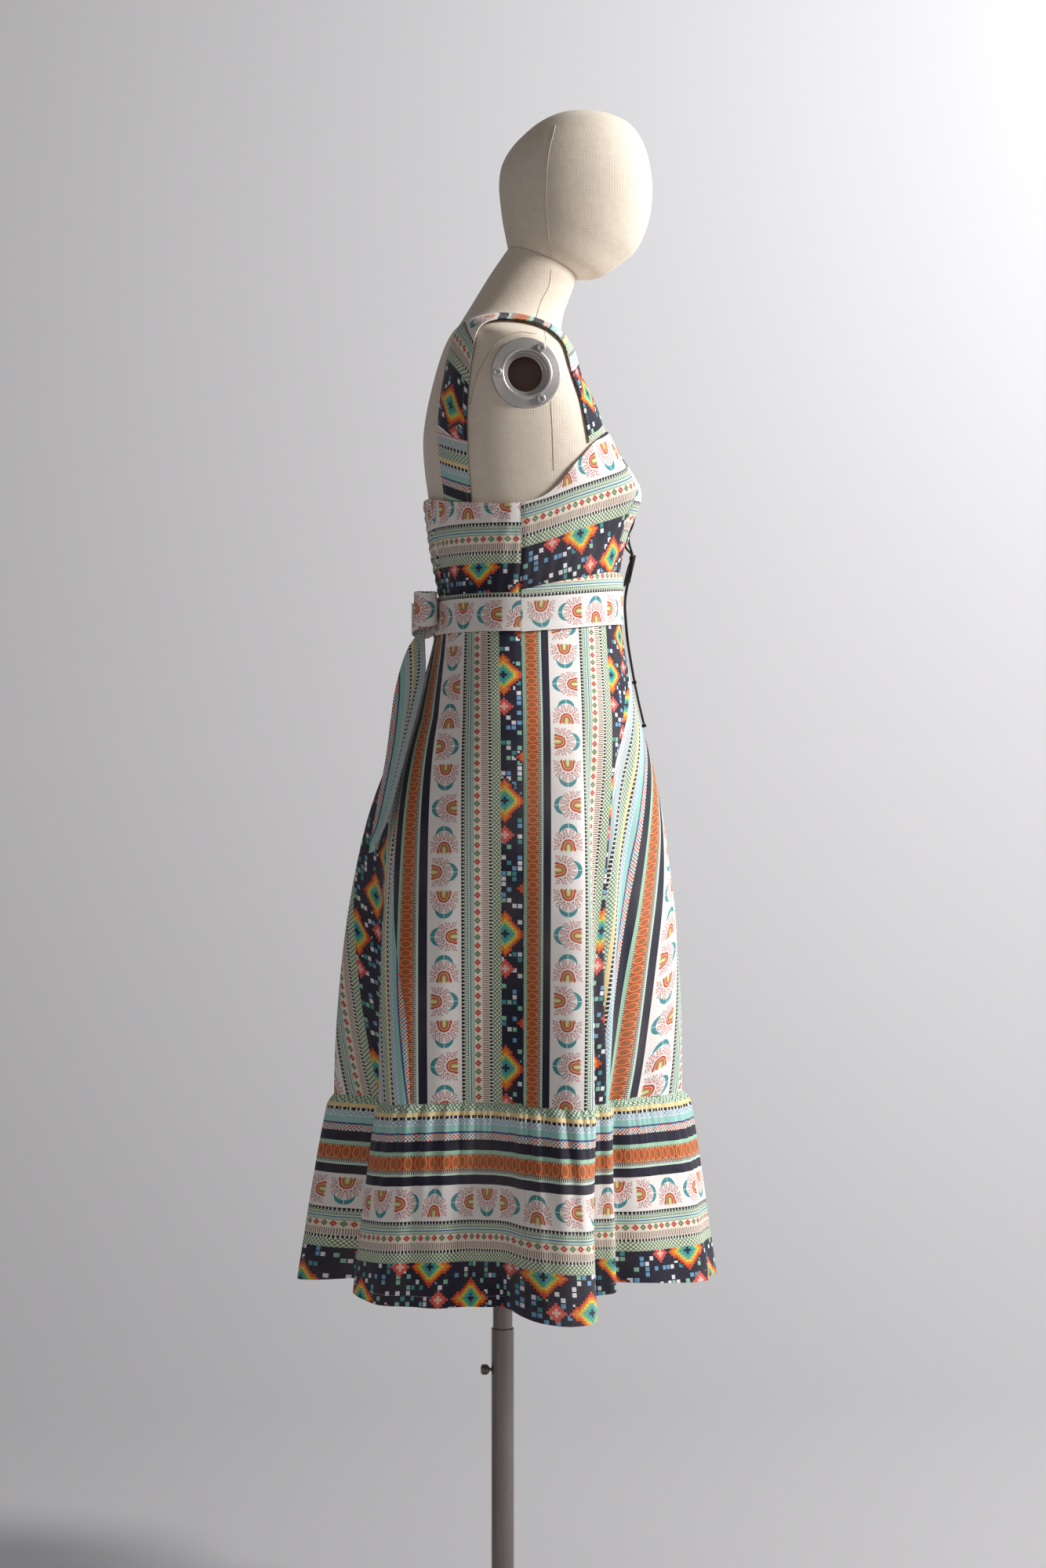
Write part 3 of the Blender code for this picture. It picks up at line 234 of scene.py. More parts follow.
# %% The motifs of the bands
def flower_band(tree, base, across, along):
    """A tulip under a fan of sprigs and a leaf, turned by a quarter from tile to tile. Drawn by formula."""
    tile = 39.25
    number = (along / tile).floor()
    a, b = along.around(tile), across - 21.0
    quarter = number * (math.pi / 2)
    sin, cos = quarter.step("SINE"), quarter.step("COSINE")
    x = a * cos - b * sin
    y = a * sin + b * cos
    rise = y + 10.0
    far = (x * x + rise * rise).step("SQRT")
    heading = x.step("ARCTAN2", rise)
    aside = (heading.around(0.50) * far).size()
    pairs = (far - aside * 1.4).around(3.3).size().under(0.78)
    sprigs = pairs * aside.over(0.40) * aside.under(2.9)
    fan = far.inside(9.6, 20.5) * heading.size().under(1.9) * x.size().under(17.5) * y.size().under(18.0)
    base = mixed(tree, sprigs * fan, base, (186, 58, 46))
    lift = rise.either(0.0)
    flared = x * (rise.both(0.0) * 0.035 + 1.0)
    arch = (flared * flared + lift * lift).step("SQRT")
    closed = rise.over((x * 1.3).step("COSINE") * 0.9 - 6.2)
    for reach, colour in (
        (8.0, (196, 70, 40)),
        (5.7, (252, 226, 182)),
        (5.0, (210, 92, 54)),
        (3.0, (158, 174, 104)),
        (1.5, (248, 222, 160)),
    ):
        base = mixed(tree, arch.under(reach) * closed, base, colour)
    outer_y, inner_y = y - 6.0, y + 0.5
    outer = (x * x + outer_y * outer_y).step("SQRT").under(11.2)
    inner = (x * x + inner_y * inner_y).step("SQRT").over(12.0)
    return mixed(tree, outer * inner * x.size().over(0.35) * y.over(4.0), base, (64, 152, 160))


def small_bands(tree, base, across, along):
    """Teeth, ladder, diamond chain, comb, ticks, lattices, zigzag and check."""
    dark = (14, 14, 22)
    point = along.around(4.6).size() + (across - 42.0) * 0.22
    base = mixed(tree, across.inside(42.2, 45.9) * point.under(2.1), base, dark)
    rungs = along.around(2.9).size().under(0.62)
    base = mixed(tree, across.inside(46.5, 52.5) * rungs, base, (236, 242, 226))
    base = mixed(tree, across.inside(46.2, 46.9) + across.inside(50.2, 50.8), base, (70, 88, 84))
    chain = along.around(10.2).size() / 3.5 + (across - 62.0).size() / 3.3
    red = (along / 10.2).floor().step("FLOORED_MODULO", 2.0).over(0.5)
    drop = mixed(tree, red, (74, 148, 108), (212, 52, 54))
    chained = across.inside(58.0, 66.6)
    base = mixed(tree, chain.inside(1.0, 1.3) * chained, base, (196, 150, 120))
    base = mixed(tree, chain.under(1.0) * chained, base, drop)
    base = mixed(tree, chain.under(0.28) * chained, base, (246, 226, 196))
    base = mixed(tree, across.inside(57.0, 57.7), base, (160, 132, 110))
    comb = along.around(2.7).size().under(0.62) * across.inside(67.6, 75.6)
    base = mixed(tree, comb, base, (138, 108, 104))
    ticks = along.around(4.2).size().under(1.25) * across.inside(76.2, 79.9)
    wider = along.around(5.6).size().under(1.9)
    places = across.inside(185.2, 189.4) + across.inside(206.5, 210.2)
    base = mixed(tree, ticks + wider * places, base, dark)
    rising = ((across + along) * (math.pi / 5.2)).wave().size()
    falling = ((across - along) * (math.pi / 5.2)).wave().size()
    lines = rising.both(falling)
    green = across.inside(80.0, 91.0)
    base = mixed(tree, green * lines.under(0.28), base, (62, 92, 70))
    base = mixed(tree, green * lines.over(0.58), base, (246, 250, 232))
    dotted = across.inside(189.5, 201.0)
    base = mixed(tree, dotted * lines.under(0.30), base, (74, 118, 96))
    base = mixed(tree, dotted * lines.over(0.60), base, (246, 250, 236))
    hatch = (across + along).around(2.4).size().under(0.55)
    base = mixed(tree, across.inside(175.0, 185.0) * hatch, base, (140, 168, 184))
    base = mixed(tree, across.inside(210.0, 216.5) * lines.under(0.30), base, (112, 164, 192))
    row, column = ((across - 226.7) / 2.2).floor(), (along / 2.2).floor()
    tinted = (row + column).step("FLOORED_MODULO", 2.0).over(0.5)
    pick = chance(tree, row, column, seed=3.0)
    tint = mixed(tree, pick.over(0.45), (206, 60, 52), (78, 158, 150))
    tint = mixed(tree, pick.over(0.78), tint, (76, 98, 168))
    return mixed(tree, across.inside(226.7, 235.5) * tinted, base, tint)


def brocade_band(tree, base, across, along):
    """Ovals in gold and olive on rust, with a dotted edge and a mint border of pins."""
    inside = across.inside(252.5, 270.5)
    x, y = along.around(11.2) / 4.6, (across - 261.5) / 8.2
    oval = (x * x + y * y).step("SQRT")
    base = mixed(tree, inside * (oval * 9.0).wave().over(0.35), base, (226, 150, 84))
    base = mixed(tree, inside * (oval * 4.5 + 1.2).wave().over(0.90), base, (112, 122, 70))
    base = mixed(tree, inside * oval.under(0.30), base, (112, 122, 70))
    vein = ((along * 2.4).wave() * (across * 1.9).wave()).over(0.50) * oval.over(1.0)
    base = mixed(tree, inside * vein, base, (132, 40, 26))
    edge = across.inside(252.5, 254.2) + across.inside(269.0, 270.5)
    base = mixed(tree, edge, base, (238, 212, 176))
    base = mixed(tree, edge * along.around(3.0).size().under(0.75), base, (60, 36, 32))
    pins = along.around(2.4).size().under(0.62) * across.inside(271.4, 274.6)
    return mixed(tree, pins, base, (34, 38, 46))


MOSAIC_ROWS = [
    # row of the middle, place along the band, both in cells
    (1.0, 0.0), (13.0, 33.0), (22.0, 17.0),
]  # fmt: skip


def mosaic_band(tree, base, across, along):
    """Three rows of stepped diamonds on navy, with loose squares and small crosses, on a grid of cells."""
    cell = 3.25
    here = across.inside(91.0, 169.0)
    inward = across - 91.0
    wide_row, wide_column = (inward / (2 * cell)).floor(), (along / (2 * cell)).floor()
    lit = chance(tree, wide_row, wide_column, seed=7.0).over(0.70)
    square = inward.around(2 * cell).size().either(along.around(2 * cell).size()).under(2.55)
    pick = chance(tree, wide_row, wide_column, seed=11.0)
    tint = mixed(tree, pick.over(0.42), (244, 244, 250), (118, 172, 216))
    tint = mixed(tree, pick.over(0.64), tint, (72, 156, 164))
    tint = mixed(tree, pick.over(0.82), tint, (150, 206, 178))
    base = mixed(tree, here * lit * square, base, tint)
    row, column = (inward / cell).floor(), (along / cell).floor()
    for middle, start in MOSAIC_ROWS:
        over = (row - middle).size()
        steps_out = over * 1.22 + (column - start).around(50.0).size()
        for reach, colour in (
            (9.8, NAVY),
            (8.6, (222, 74, 38)),
            (7.3, (242, 138, 40)),
            (6.0, (248, 208, 76)),
            (4.8, (150, 204, 116)),
            (3.7, (66, 170, 172)),
            (1.6, NAVY),
        ):
            base = mixed(tree, here * steps_out.under(reach), base, colour)
        cross = over + (column - start - 13.0).around(50.0).size()
        base = mixed(tree, here * cross.under(3.2), base, (232, 92, 84))
        base = mixed(tree, here * cross.under(1.2), base, (250, 200, 188))
    return base


def make_print():
    group = bpy.data.node_groups.new("border print", "ShaderNodeTree")
    group.interface.new_socket("Across", in_out="INPUT", socket_type="NodeSocketFloat")
    group.interface.new_socket("Along", in_out="INPUT", socket_type="NodeSocketFloat")
    group.interface.new_socket("Colour", in_out="OUTPUT", socket_type="NodeSocketColor")
    entry, leave = group.nodes.new("NodeGroupInput"), group.nodes.new("NodeGroupOutput")
    across = Sum(group, entry.outputs["Across"]).step("FLOORED_MODULO", REPEAT)
    along = Sum(group, entry.outputs["Along"])
    ramp = group.nodes.new("ShaderNodeValToRGB")
    ramp.color_ramp.interpolation = "CONSTANT"
    stops = ramp.color_ramp.elements
    stops.remove(stops[1])
    for number, (start, colour) in enumerate(BANDS):
        stop = stops[0] if number == 0 else stops.new(start / REPEAT)
        stop.position, stop.color = start / REPEAT, linear(colour)
    group.links.new((across / REPEAT).socket, ramp.inputs[0])
    base = Sum(group, ramp.outputs[0])
    flowers = flower_band(group, base, across, along)
    base = mixed(group, across.under(42.0), base, flowers)
    base = small_bands(group, base, across, along)
    base = brocade_band(group, base, across, along)
    base = mosaic_band(group, base, across, along)
    group.links.new(base.socket, leave.inputs["Colour"])
    return group


border_print = make_print()
print("print drawn with", len(border_print.nodes), "nodes")

# %% [markdown]
# Printed cotton is dull, a little hairy and never quite flat. The print is read from each piece's own
# map, named cut, which says in metres how far a point lies across and along the bands, as if the piece
# were still flat on the cutting table. Fine warp and weft threads and a soft crumple are bumps. The wrong
# side shows the print paler.


# %% Cotton, right side and wrong side
def start_finish(name, roughness, metallic=0.0):
    material = bpy.data.materials.new(name)
    material.use_nodes = True
    shader = material.node_tree.nodes["Principled BSDF"]
    shader.inputs["Roughness"].default_value = roughness
    shader.inputs["Metallic"].default_value = metallic
    return material, material.node_tree, shader


def noise_at(tree, where, scale, detail=3.0):
    node = tree.nodes.new("ShaderNodeTexNoise")
    node.inputs["Scale"].default_value = scale
    node.inputs["Detail"].default_value = detail
    tree.links.new(where, node.inputs["Vector"])
    return Sum(tree, node.outputs["Fac"])


def raised(tree, shader, height, strength, distance):
    bump = tree.nodes.new("ShaderNodeBump")
    bump.inputs["Strength"].default_value = strength
    bump.inputs["Distance"].default_value = distance
    tree.links.new(height.socket, bump.inputs["Height"])
    tree.links.new(bump.outputs["Normal"], shader.inputs["Normal"])


def cut_place(tree):
    """Across and along the cloth, in millimetres."""
    cut = tree.nodes.new("ShaderNodeUVMap")
    cut.uv_map = "cut"
    parts = tree.nodes.new("ShaderNodeSeparateXYZ")
    tree.links.new(cut.outputs["UV"], parts.inputs[0])
    return Sum(tree, parts.outputs[0]) * 1000.0, Sum(tree, parts.outputs[1]) * 1000.0


def make_cotton(name, paler):
    material, tree, shader = start_finish(name, 0.88)
    across, along = cut_place(tree)
    printed = tree.nodes.new("ShaderNodeGroup")
    printed.node_tree = border_print
    tree.links.new(across.socket, printed.inputs["Across"])
    tree.links.new(along.socket, printed.inputs["Along"])
    coordinates = tree.nodes.new("ShaderNodeTexCoord")
    cloud = noise_at(tree, coordinates.outputs["Object"], 7.0)
    colour = mixed(tree, paler, Sum(tree, printed.outputs[0]), (226, 218, 210))
    colour = mixed(tree, (cloud - 0.45) * 0.35, colour, (196, 184, 170))
    threads = (across * 11.0).wave() + (along * 11.0).wave()
    # The colour is paler where the threads rise in the bump: a painted highlight on the crowns of the
    # threads.
    colour = mixed(tree, (threads * 0.035).step("MAXIMUM", 0.0), colour, (236, 230, 222))
    tree.links.new(colour.socket, shader.inputs["Base Color"])
    crumple = noise_at(tree, coordinates.outputs["Object"], 55.0, 2.0)
    raised(tree, shader, threads * 0.06 + crumple, 0.5, 0.0016)
    shader.inputs["Sheen Weight"].default_value = 0.12
    shader.inputs["Sheen Roughness"].default_value = 0.6
    shader.inputs["Specular IOR Level"].default_value = 0.25
    return material


cotton, cotton_inside = make_cotton("printed cotton", 0.0), make_cotton("printed cotton inside", 0.5)
print("finishes:", cotton.name, "and", cotton_inside.name)

# %% [markdown]
# The form is covered in unbleached linen canvas, with a coarser, slubbed weave. It has no cut map, so the
# weave is drawn on object coordinates. The pole is satin steel, the arm sockets are brushed alloy, and
# the lace is a black braided cord.


# %% Linen, metals and cord
def make_linen():
    material, tree, shader = start_finish("form linen", 0.92)
    coordinates = tree.nodes.new("ShaderNodeTexCoord")
    parts = tree.nodes.new("ShaderNodeSeparateXYZ")
    tree.links.new(coordinates.outputs["Object"], parts.inputs[0])
    x, y, z = (Sum(tree, parts.outputs[i]) for i in range(3))
    slub = noise_at(tree, coordinates.outputs["Object"], 90.0, 2.0)
    warp = ((y + x * 0.35) * 3600.0 + slub * 2.5).wave()
    weft = (z * 3600.0 + slub * 3.0).wave()
    weave = warp * 0.5 + weft * 0.5
    cloud = noise_at(tree, coordinates.outputs["Object"], 9.0)
    colour = mixed(tree, (weave * 0.14 + 0.12).step("ADD", slub * 0.42), (246, 235, 221), (208, 191, 172))
    colour = mixed(tree, (cloud - 0.45) * 0.35, colour, (206, 186, 164))
    tree.links.new(colour.socket, shader.inputs["Base Color"])
    raised(tree, shader, weave * 0.35 + slub, 0.55, 0.0008)
    shader.inputs["Sheen Weight"].default_value = 0.15
    shader.inputs["Specular IOR Level"].default_value = 0.2
    return material


def make_metal(name, colour, roughness, metallic, streak):
    """Streak stretches the polishing marks along the tube or round the plate."""
    material, tree, shader = start_finish(name, roughness, metallic)
    coordinates = tree.nodes.new("ShaderNodeTexCoord")
    stretched = tree.nodes.new("ShaderNodeMapping")
    stretched.inputs["Scale"].default_value = streak
    tree.links.new(coordinates.outputs["Object"], stretched.inputs["Vector"])
    marks = noise_at(tree, stretched.outputs[0], 60.0, 4.0)
    dust = noise_at(tree, coordinates.outputs["Object"], 14.0)
    darker = tuple(value * 0.72 for value in colour)
    shade = mixed(tree, marks * 0.40, colour, darker)
    shade = mixed(tree, (dust - 0.5) * 0.4, shade, (150, 140, 132))
    tree.links.new(shade.socket, shader.inputs["Base Color"])
    rough = marks * 0.10 + (roughness - 0.04)
    tree.links.new(rough.socket, shader.inputs["Roughness"])
    raised(tree, shader, marks, 0.06, 0.0002)
    return material


def make_thread(name, colour, twist):
    """A twisted or braided yarn, drawn round its own map, painted lighter on its raised strands and darker
    between them: painted highlight and painted shade.
    """
    material, tree, shader = start_finish(name, 0.8)
    around, along = cut_place(tree)
    braid = (along * twist + around * 2.1).wave() * (along * twist - around * 2.1).wave()
    strand_highlight = tuple(min(value * 1.5 + 14, 255) for value in colour)
    # The braid's colour follows its bump: lighter on the raised strands, darker in the hollows between them.
    # This is painted highlight and painted shade.
    shade = mixed(tree, braid * 0.4 + 0.3, colour, strand_highlight)
    tree.links.new(shade.socket, shader.inputs["Base Color"])
    raised(tree, shader, braid, 0.7, 0.0004)
    shader.inputs["Sheen Weight"].default_value = 0.1
    return material


linen = make_linen()
steel = make_metal("satin steel", (142, 134, 130), 0.28, 0.80, (6.0, 6.0, 0.35))
alloy = make_metal("brushed alloy", (214, 211, 211), 0.36, 0.75, (1.0, 3.0, 3.0))
# The inside of each socket's hole gets a darker, browner metal: painted shade in the hole.
bore_shade_metal = make_metal("bore with painted shade", (128, 104, 96), 0.40, 0.60, (1.0, 1.0, 1.0))
cord_black = make_thread("black cord", (16, 16, 19), 2.4)
piping = make_thread("linen piping", (196, 172, 150), 3.0)
seam_thread = make_thread("sewing thread", (214, 206, 196), 5.0)
print("finishes in all:", len(bpy.data.materials))

# %% [markdown]
# The shape follows the same rules as the CAD parts. Short tables say how far the form, the skirt and its
# folds stand out at each height or direction, and a smooth line runs through their rows. An angle of 0 is
# the centre front, 90 the figure's right side and 180 the centre back. Here the rules take whole grids of
# points at once.

# %% Tables of the shape
WALL, SEAM_GAP, LAYER_GAP, BODICE_EASE = 0.0016, 0.0005, 0.0014, 0.0045
WAIST_SEAM, FLOUNCE_SEAM, HEM, BODY_AXIS_Y = 1.302, 0.698, 0.4635, -0.014
TORSO = [
    # z, back_y, front_y, half_width, squareness
    (1.05, 0.082, -0.12, 0.148, 2.2), (1.1, 0.094, -0.136, 0.16, 2.2), (1.16, 0.096, -0.141, 0.162, 2.2),
    (1.23, 0.083, -0.139, 0.144, 2.2), (1.285, 0.0745, -0.138, 0.126, 2.2),
    (1.33, 0.0745, -0.138, 0.121, 2.2),
    (1.38, 0.084, -0.146, 0.13, 2.25), (1.425, 0.0905, -0.149, 0.138, 2.3), (1.46, 0.095, -0.15, 0.143, 2.35),
    (1.495, 0.0995, -0.1405, 0.148, 2.4), (1.53, 0.101, -0.131, 0.152, 2.4),
    (1.565, 0.0965, -0.1165, 0.1545, 2.4), (1.6, 0.0885, -0.097, 0.155, 2.4),
    (1.628, 0.0805, -0.0875, 0.153, 2.4),
]
NECK = [
    # back_y, back_z, front_y, front_z, half_width
    (0.0735, 1.6465, -0.0815, 1.639, 0.149), (0.066, 1.66, -0.0775, 1.648, 0.13),
    (0.057, 1.6715, -0.075, 1.6565, 0.102), (0.048, 1.686, -0.074, 1.666, 0.074),
    (0.034, 1.709, -0.077, 1.687, 0.059), (0.015, 1.74, -0.0855, 1.711, 0.0525),
    (-0.007, 1.772, -0.0945, 1.735, 0.05),
]
HEAD = [
    (-0.007, 1.7726, -0.0945, 1.7356, 0.05), (-0.0035, 1.79, -0.124, 1.738, 0.06),
    (0, 1.808, -0.15, 1.754, 0.067), (0.003, 1.832, -0.172, 1.774, 0.073),
    (0.0045, 1.856, -0.187, 1.81, 0.0765), (0.001, 1.878, -0.1914, 1.85, 0.077),
    (-0.009, 1.897, -0.187, 1.885, 0.073), (-0.024, 1.914, -0.178, 1.911, 0.064),
    (-0.044, 1.931, -0.163, 1.931, 0.05), (-0.066, 1.9425, -0.14, 1.9425, 0.032),
    (-0.086, 1.9475, -0.118, 1.9475, 0.014),
]
SKIRT = [
    # z, back_y, front_y, half_width
    (1.302, 0.0845, -0.1505, 0.1345), (1.285, 0.0855, -0.1515, 0.136), (1.255, 0.0915, -0.156, 0.1435),
    (1.215, 0.103, -0.164, 0.156), (1.17, 0.1185, -0.174, 0.17), (1.11, 0.137, -0.186, 0.176),
    (1.05, 0.153, -0.194, 0.181), (0.99, 0.1645, -0.201, 0.185), (0.92, 0.177, -0.21, 0.189),
    (0.85, 0.188, -0.218, 0.192), (0.78, 0.199, -0.226, 0.195), (0.698, 0.214, -0.2315, 0.198),
]
FALL = [
    # angle, radius_at_seam, radius_at_hem
    (0, 0.2175, 0.26), (12, 0.2, 0.244), (23, 0.173, 0.214), (33, 0.158, 0.178), (38, 0.146, 0.156),
    (44, 0.15, 0.16), (51, 0.171, 0.182), (56, 0.171, 0.176), (62, 0.173, 0.172), (67.5, 0.217, 0.212),
    (73, 0.222, 0.268), (79, 0.212, 0.285),
    (85, 0.198, 0.276), (90, 0.189, 0.25), (96, 0.183, 0.208), (105, 0.179, 0.203), (120, 0.196, 0.231),
    (135, 0.218, 0.247), (146, 0.207, 0.247), (154, 0.18, 0.212), (163, 0.172, 0.206), (172, 0.198, 0.25),
    (180, 0.228, 0.277), (189, 0.208, 0.258), (198, 0.178, 0.218), (208, 0.178, 0.214), (220, 0.206, 0.244),
    (236, 0.212, 0.244), (252, 0.186, 0.216), (264, 0.181, 0.206), (273, 0.19, 0.236), (281, 0.208, 0.272),
    (289, 0.22, 0.276), (296, 0.214, 0.254), (304, 0.18, 0.214), (313, 0.156, 0.18), (324, 0.158, 0.184),
    (336, 0.178, 0.22), (348, 0.202, 0.246), (360, 0.2175, 0.26),
]
PRINCESS_SEAM = [
    # z, angle
    (1.302, 17), (1.36, 21), (1.395, 28), (1.43, 31), (1.466, 28), (1.535, 26),
]
FRONT_GORE_SEAM = [
    # z, angle from the centre front
    (0.69, 52.5), (0.735, 53), (0.8, 54.5), (0.88, 55.6), (0.963, 55), (1.025, 53.2), (1.091, 49.8),
    (1.135, 45), (1.172, 38.5), (1.213, 27), (1.25, 16), (1.302, 6),
]
BACK_GORE_SEAM = [
    # z, angle from the centre back
    (0.69, 50), (0.8, 48.5), (0.862, 44.8), (0.918, 41.2), (0.97, 38.5), (1.09, 29), (1.175, 19.5),
    (1.25, 11), (1.302, 6),
]
BODICE_TOP = [
    # angle, z
    (0, 1.497), (12, 1.5), (22, 1.509), (31, 1.521), (38, 1.528), (46, 1.52), (54, 1.5085), (60, 1.494),
    (65, 1.481), (72, 1.457), (80, 1.441), (90, 1.434), (105, 1.4325), (125, 1.437), (153, 1.446),
    (180, 1.449),
]
STRAP_FRONT = [
    # outer x, y, z, inner x, y, z
    (-0.1215, -0.096, 1.5096, -0.084, -0.118, 1.5291), (-0.122, -0.09, 1.533, -0.083, -0.112, 1.549),
    (-0.123, -0.085, 1.566, -0.082, -0.1, 1.577), (-0.124, -0.079, 1.597, -0.082, -0.087, 1.604),
    (-0.125, -0.069, 1.626, -0.083, -0.076, 1.633), (-0.126, -0.05, 1.645, -0.085, -0.056, 1.66),
    (-0.127, -0.02, 1.655, -0.087, -0.022, 1.668), (-0.128, 0.012, 1.653, -0.089, 0.012, 1.668),
    (-0.129, 0.031, 1.637, -0.091, 0.042, 1.656), (-0.131, 0.04, 1.605, -0.093, 0.065, 1.62),
    (-0.133, 0.046, 1.5715, -0.095, 0.078, 1.58), (-0.1335, 0.049, 1.535, -0.097, 0.084, 1.548),
    (-0.133, 0.05, 1.5095, -0.0965, 0.085, 1.5255),
]
STRAP_BACK = [
    (-0.133, 0.05, 1.5088, -0.0965, 0.085, 1.5248), (-0.131, 0.051, 1.48, -0.095, 0.085, 1.488),
    (-0.1285, 0.0515, 1.4364, -0.093, 0.084, 1.4422),
]
TAIL = [
    # z, outer_x, outer_y, inner_x, inner_y
    (1.2845, -0.0015, 0.103, -0.01, 0.0985), (1.262, -0.02, 0.1185, -0.046, 0.0985),
    (1.225, -0.034, 0.131, -0.072, 0.0985), (1.185, -0.046, 0.137, -0.089, 0.1065),
    (1.14, -0.056, 0.143, -0.104, 0.119), (1.09, -0.064, 0.153, -0.114, 0.133),
    (1.045, -0.07, 0.1625, -0.118, 0.146), (1.018, -0.074, 0.168, -0.108, 0.158),
]
LACE_LONG = [
    # x, y, z, from the knot to the free end
    (0.0022, -0.1662, 1.3731), (0.0044, -0.161, 1.35), (0.005, -0.157, 1.324), (0.0046, -0.158, 1.298),
    (0.004, -0.161, 1.268), (0.0036, -0.1675, 1.23), (0.003, -0.174, 1.198), (0.0024, -0.181, 1.168),
]
LACE_SHORT = [
    (-0.0022, -0.1662, 1.3731), (-0.004, -0.161, 1.35), (-0.005, -0.1565, 1.324), (-0.005, -0.1575, 1.298),
    (-0.0046, -0.1605, 1.268), (-0.0042, -0.165, 1.24), (-0.0042, -0.168, 1.223),
]
LACE_LOOP = [
    # one loop of the lace's own bow, from the knot out and back
    (-0.0067, -0.1662, 1.3799), (-0.015, -0.1675, 1.38), (-0.025, -0.165, 1.372), (-0.029, -0.161, 1.356),
    (-0.026, -0.159, 1.346), (-0.019, -0.16, 1.35), (-0.012, -0.164, 1.362), (-0.0067, -0.1662, 1.3761),
]
HEM_DIPS = [
    # angle, half_width, dip
    (79.0, 20.0, 0.009), (38.0, 28.0, -0.008), (158.0, 24.0, -0.012), (204.0, 24.0, -0.009),
    (284.0, 22.0, 0.008), (322.0, 26.0, -0.007),
]
SEAM_RISES = [(108.0, 48.0, 0.008), (252.0, 48.0, 0.006)]
BAND_TOP = [(0.0, 1.3510), (32.0, 1.3545), (72.0, 1.3375), (90.0, 1.3270)]
BAND_BOTTOM = [(0.0, 1.2940), (32.0, 1.2890), (72.0, 1.2795), (90.0, 1.2760)]
print("folds in the skirt's table:", len(FALL))


# %% Rules of the shape
def between(table, key):
    """The table's other columns at each key, on a smooth line through its rows."""
    rows = np.array(sorted(table), float)
    keys = np.clip(np.asarray(key, float), rows[0, 0], rows[-1, 0])
    at = np.clip(np.searchsorted(rows[:, 0], keys) - 1, 0, len(rows) - 2)
    low, high = rows[at], rows[at + 1]
    before, after = rows[np.maximum(at - 1, 0)], rows[np.minimum(at + 2, len(rows) - 1)]
    span = (high - low)[..., :1]
    t = (keys[..., None] - low[..., :1]) / span
    rise_in = (high - before) / (high - before)[..., :1] * span
    rise_out = (after - low) / (after - low)[..., :1] * span
    line = (2 * t**3 - 3 * t**2 + 1) * low + (t**3 - 2 * t**2 + t) * rise_in
    line += (3 * t**2 - 2 * t**3) * high + (t**3 - t**2) * rise_out
    return [line[..., column] for column in range(1, rows.shape[1])]


def hump(distance, half_width):
    return 0.5 + 0.5 * np.cos(np.pi * np.minimum(np.abs(distance) / half_width, 1.0))


def turn_between(a, b):
    return (a - b + 180.0) % 360.0 - 180.0


def oval(angle, half_width, back, front, squareness):
    across = np.abs(np.sin(np.radians(angle))) / half_width
    along = np.cos(np.radians(angle))
    depth = np.abs(along) / np.where(along > 0, front, back)
    return (across**squareness + depth**squareness) ** (-1.0 / squareness)


def round_axis(angle, z, radius):
    turned = np.radians(angle)
    places = (-np.sin(turned) * radius, BODY_AXIS_Y - np.cos(turned) * radius, z + 0.0 * radius)
    return np.stack(np.broadcast_arrays(*places), -1)


def torso_radius(angle, z):
    back, front, half_width, squareness = between(TORSO, z)
    return oval(angle, half_width, back - BODY_AXIS_Y, BODY_AXIS_Y - front, squareness)


def chest_rise(angle, z, rise, bridge):
    off_centre = np.abs(turn_between(angle, 0.0))
    across = np.exp(-(((off_centre - 25.0) / 17.0) ** 2))
    across = np.where(off_centre < 25.0, bridge + (1 - bridge) * across, across)
    return rise * across * np.exp(-(((z - 1.452) / 0.044) ** 2))


def bodice_radius(angle, z):
    return torso_radius(angle, z) + chest_rise(angle, z, 0.0225, 0.10) + BODICE_EASE


def skirt_radius(angle, z):
    back, front, half_width = between(SKIRT, z)
    smooth = oval(angle, half_width, back - BODY_AXIS_Y, BODY_AXIS_Y - front, 2.1)
    fallen = np.clip((1.170 - z) / (1.170 - FLOUNCE_SEAM), 0.0, 1.0)
    folded = between(FALL, angle % 360.0)[0]
    return smooth + (folded - smooth) * fallen**0.9 - WALL


def humps_at(humps, angle):
    return sum(height * hump(turn_between(angle, at), width) for at, width, height in humps)


def seam_level(angle):
    return FLOUNCE_SEAM + humps_at(SEAM_RISES, angle)


def hem_level(angle):
    return HEM - humps_at(HEM_DIPS, angle)


def bodice_top(angle):
    return between(BODICE_TOP, np.abs(turn_between(angle, 0.0)))[0]


print("waist of the skirt, side:", round(float(skirt_radius(np.array(90.0), np.array(1.30))), 4))

# %% [markdown]
# A sheet of cloth is a grid of points. Each grid becomes a closed shell about a millimetre thick, with a
# right side, a wrong side and a folded rim, and the map named cut is written beside it. Where two pieces
# are sewn together both edges turn in by a millimetre, which draws the seam as a fine shaded groove.


# %% From a grid of points to a sheet of cloth
def eased(count):
    """Shares from 0 to 1, closer together towards both ends."""
    t = np.linspace(0.0, 1.0, count + 1)
    return 0.55 * t + 0.45 * (0.5 - 0.5 * np.cos(np.pi * t))


def lengths(points, axis):
    """How far each point lies from the start of its row (axis 1) or column (axis 0)."""
    gone = np.cumsum(np.linalg.norm(np.diff(points, axis=axis), axis=2), axis=axis)
    return np.concatenate([np.zeros_like(np.take(gone, [0], axis=axis)), gone], axis=axis)


def facings(points, outward):
    facing = np.cross(np.gradient(points, axis=1), np.gradient(points, axis=0))
    facing /= np.maximum(np.linalg.norm(facing, axis=2, keepdims=True), 1e-9)
    turned_round = float((facing * outward).sum()) < 0
    return (-facing if turned_round else facing), turned_round


def from_axis(points):
    return points - np.stack([0 * points[..., 0], 0 * points[..., 0] + BODY_AXIS_Y, points[..., 2]], -1)


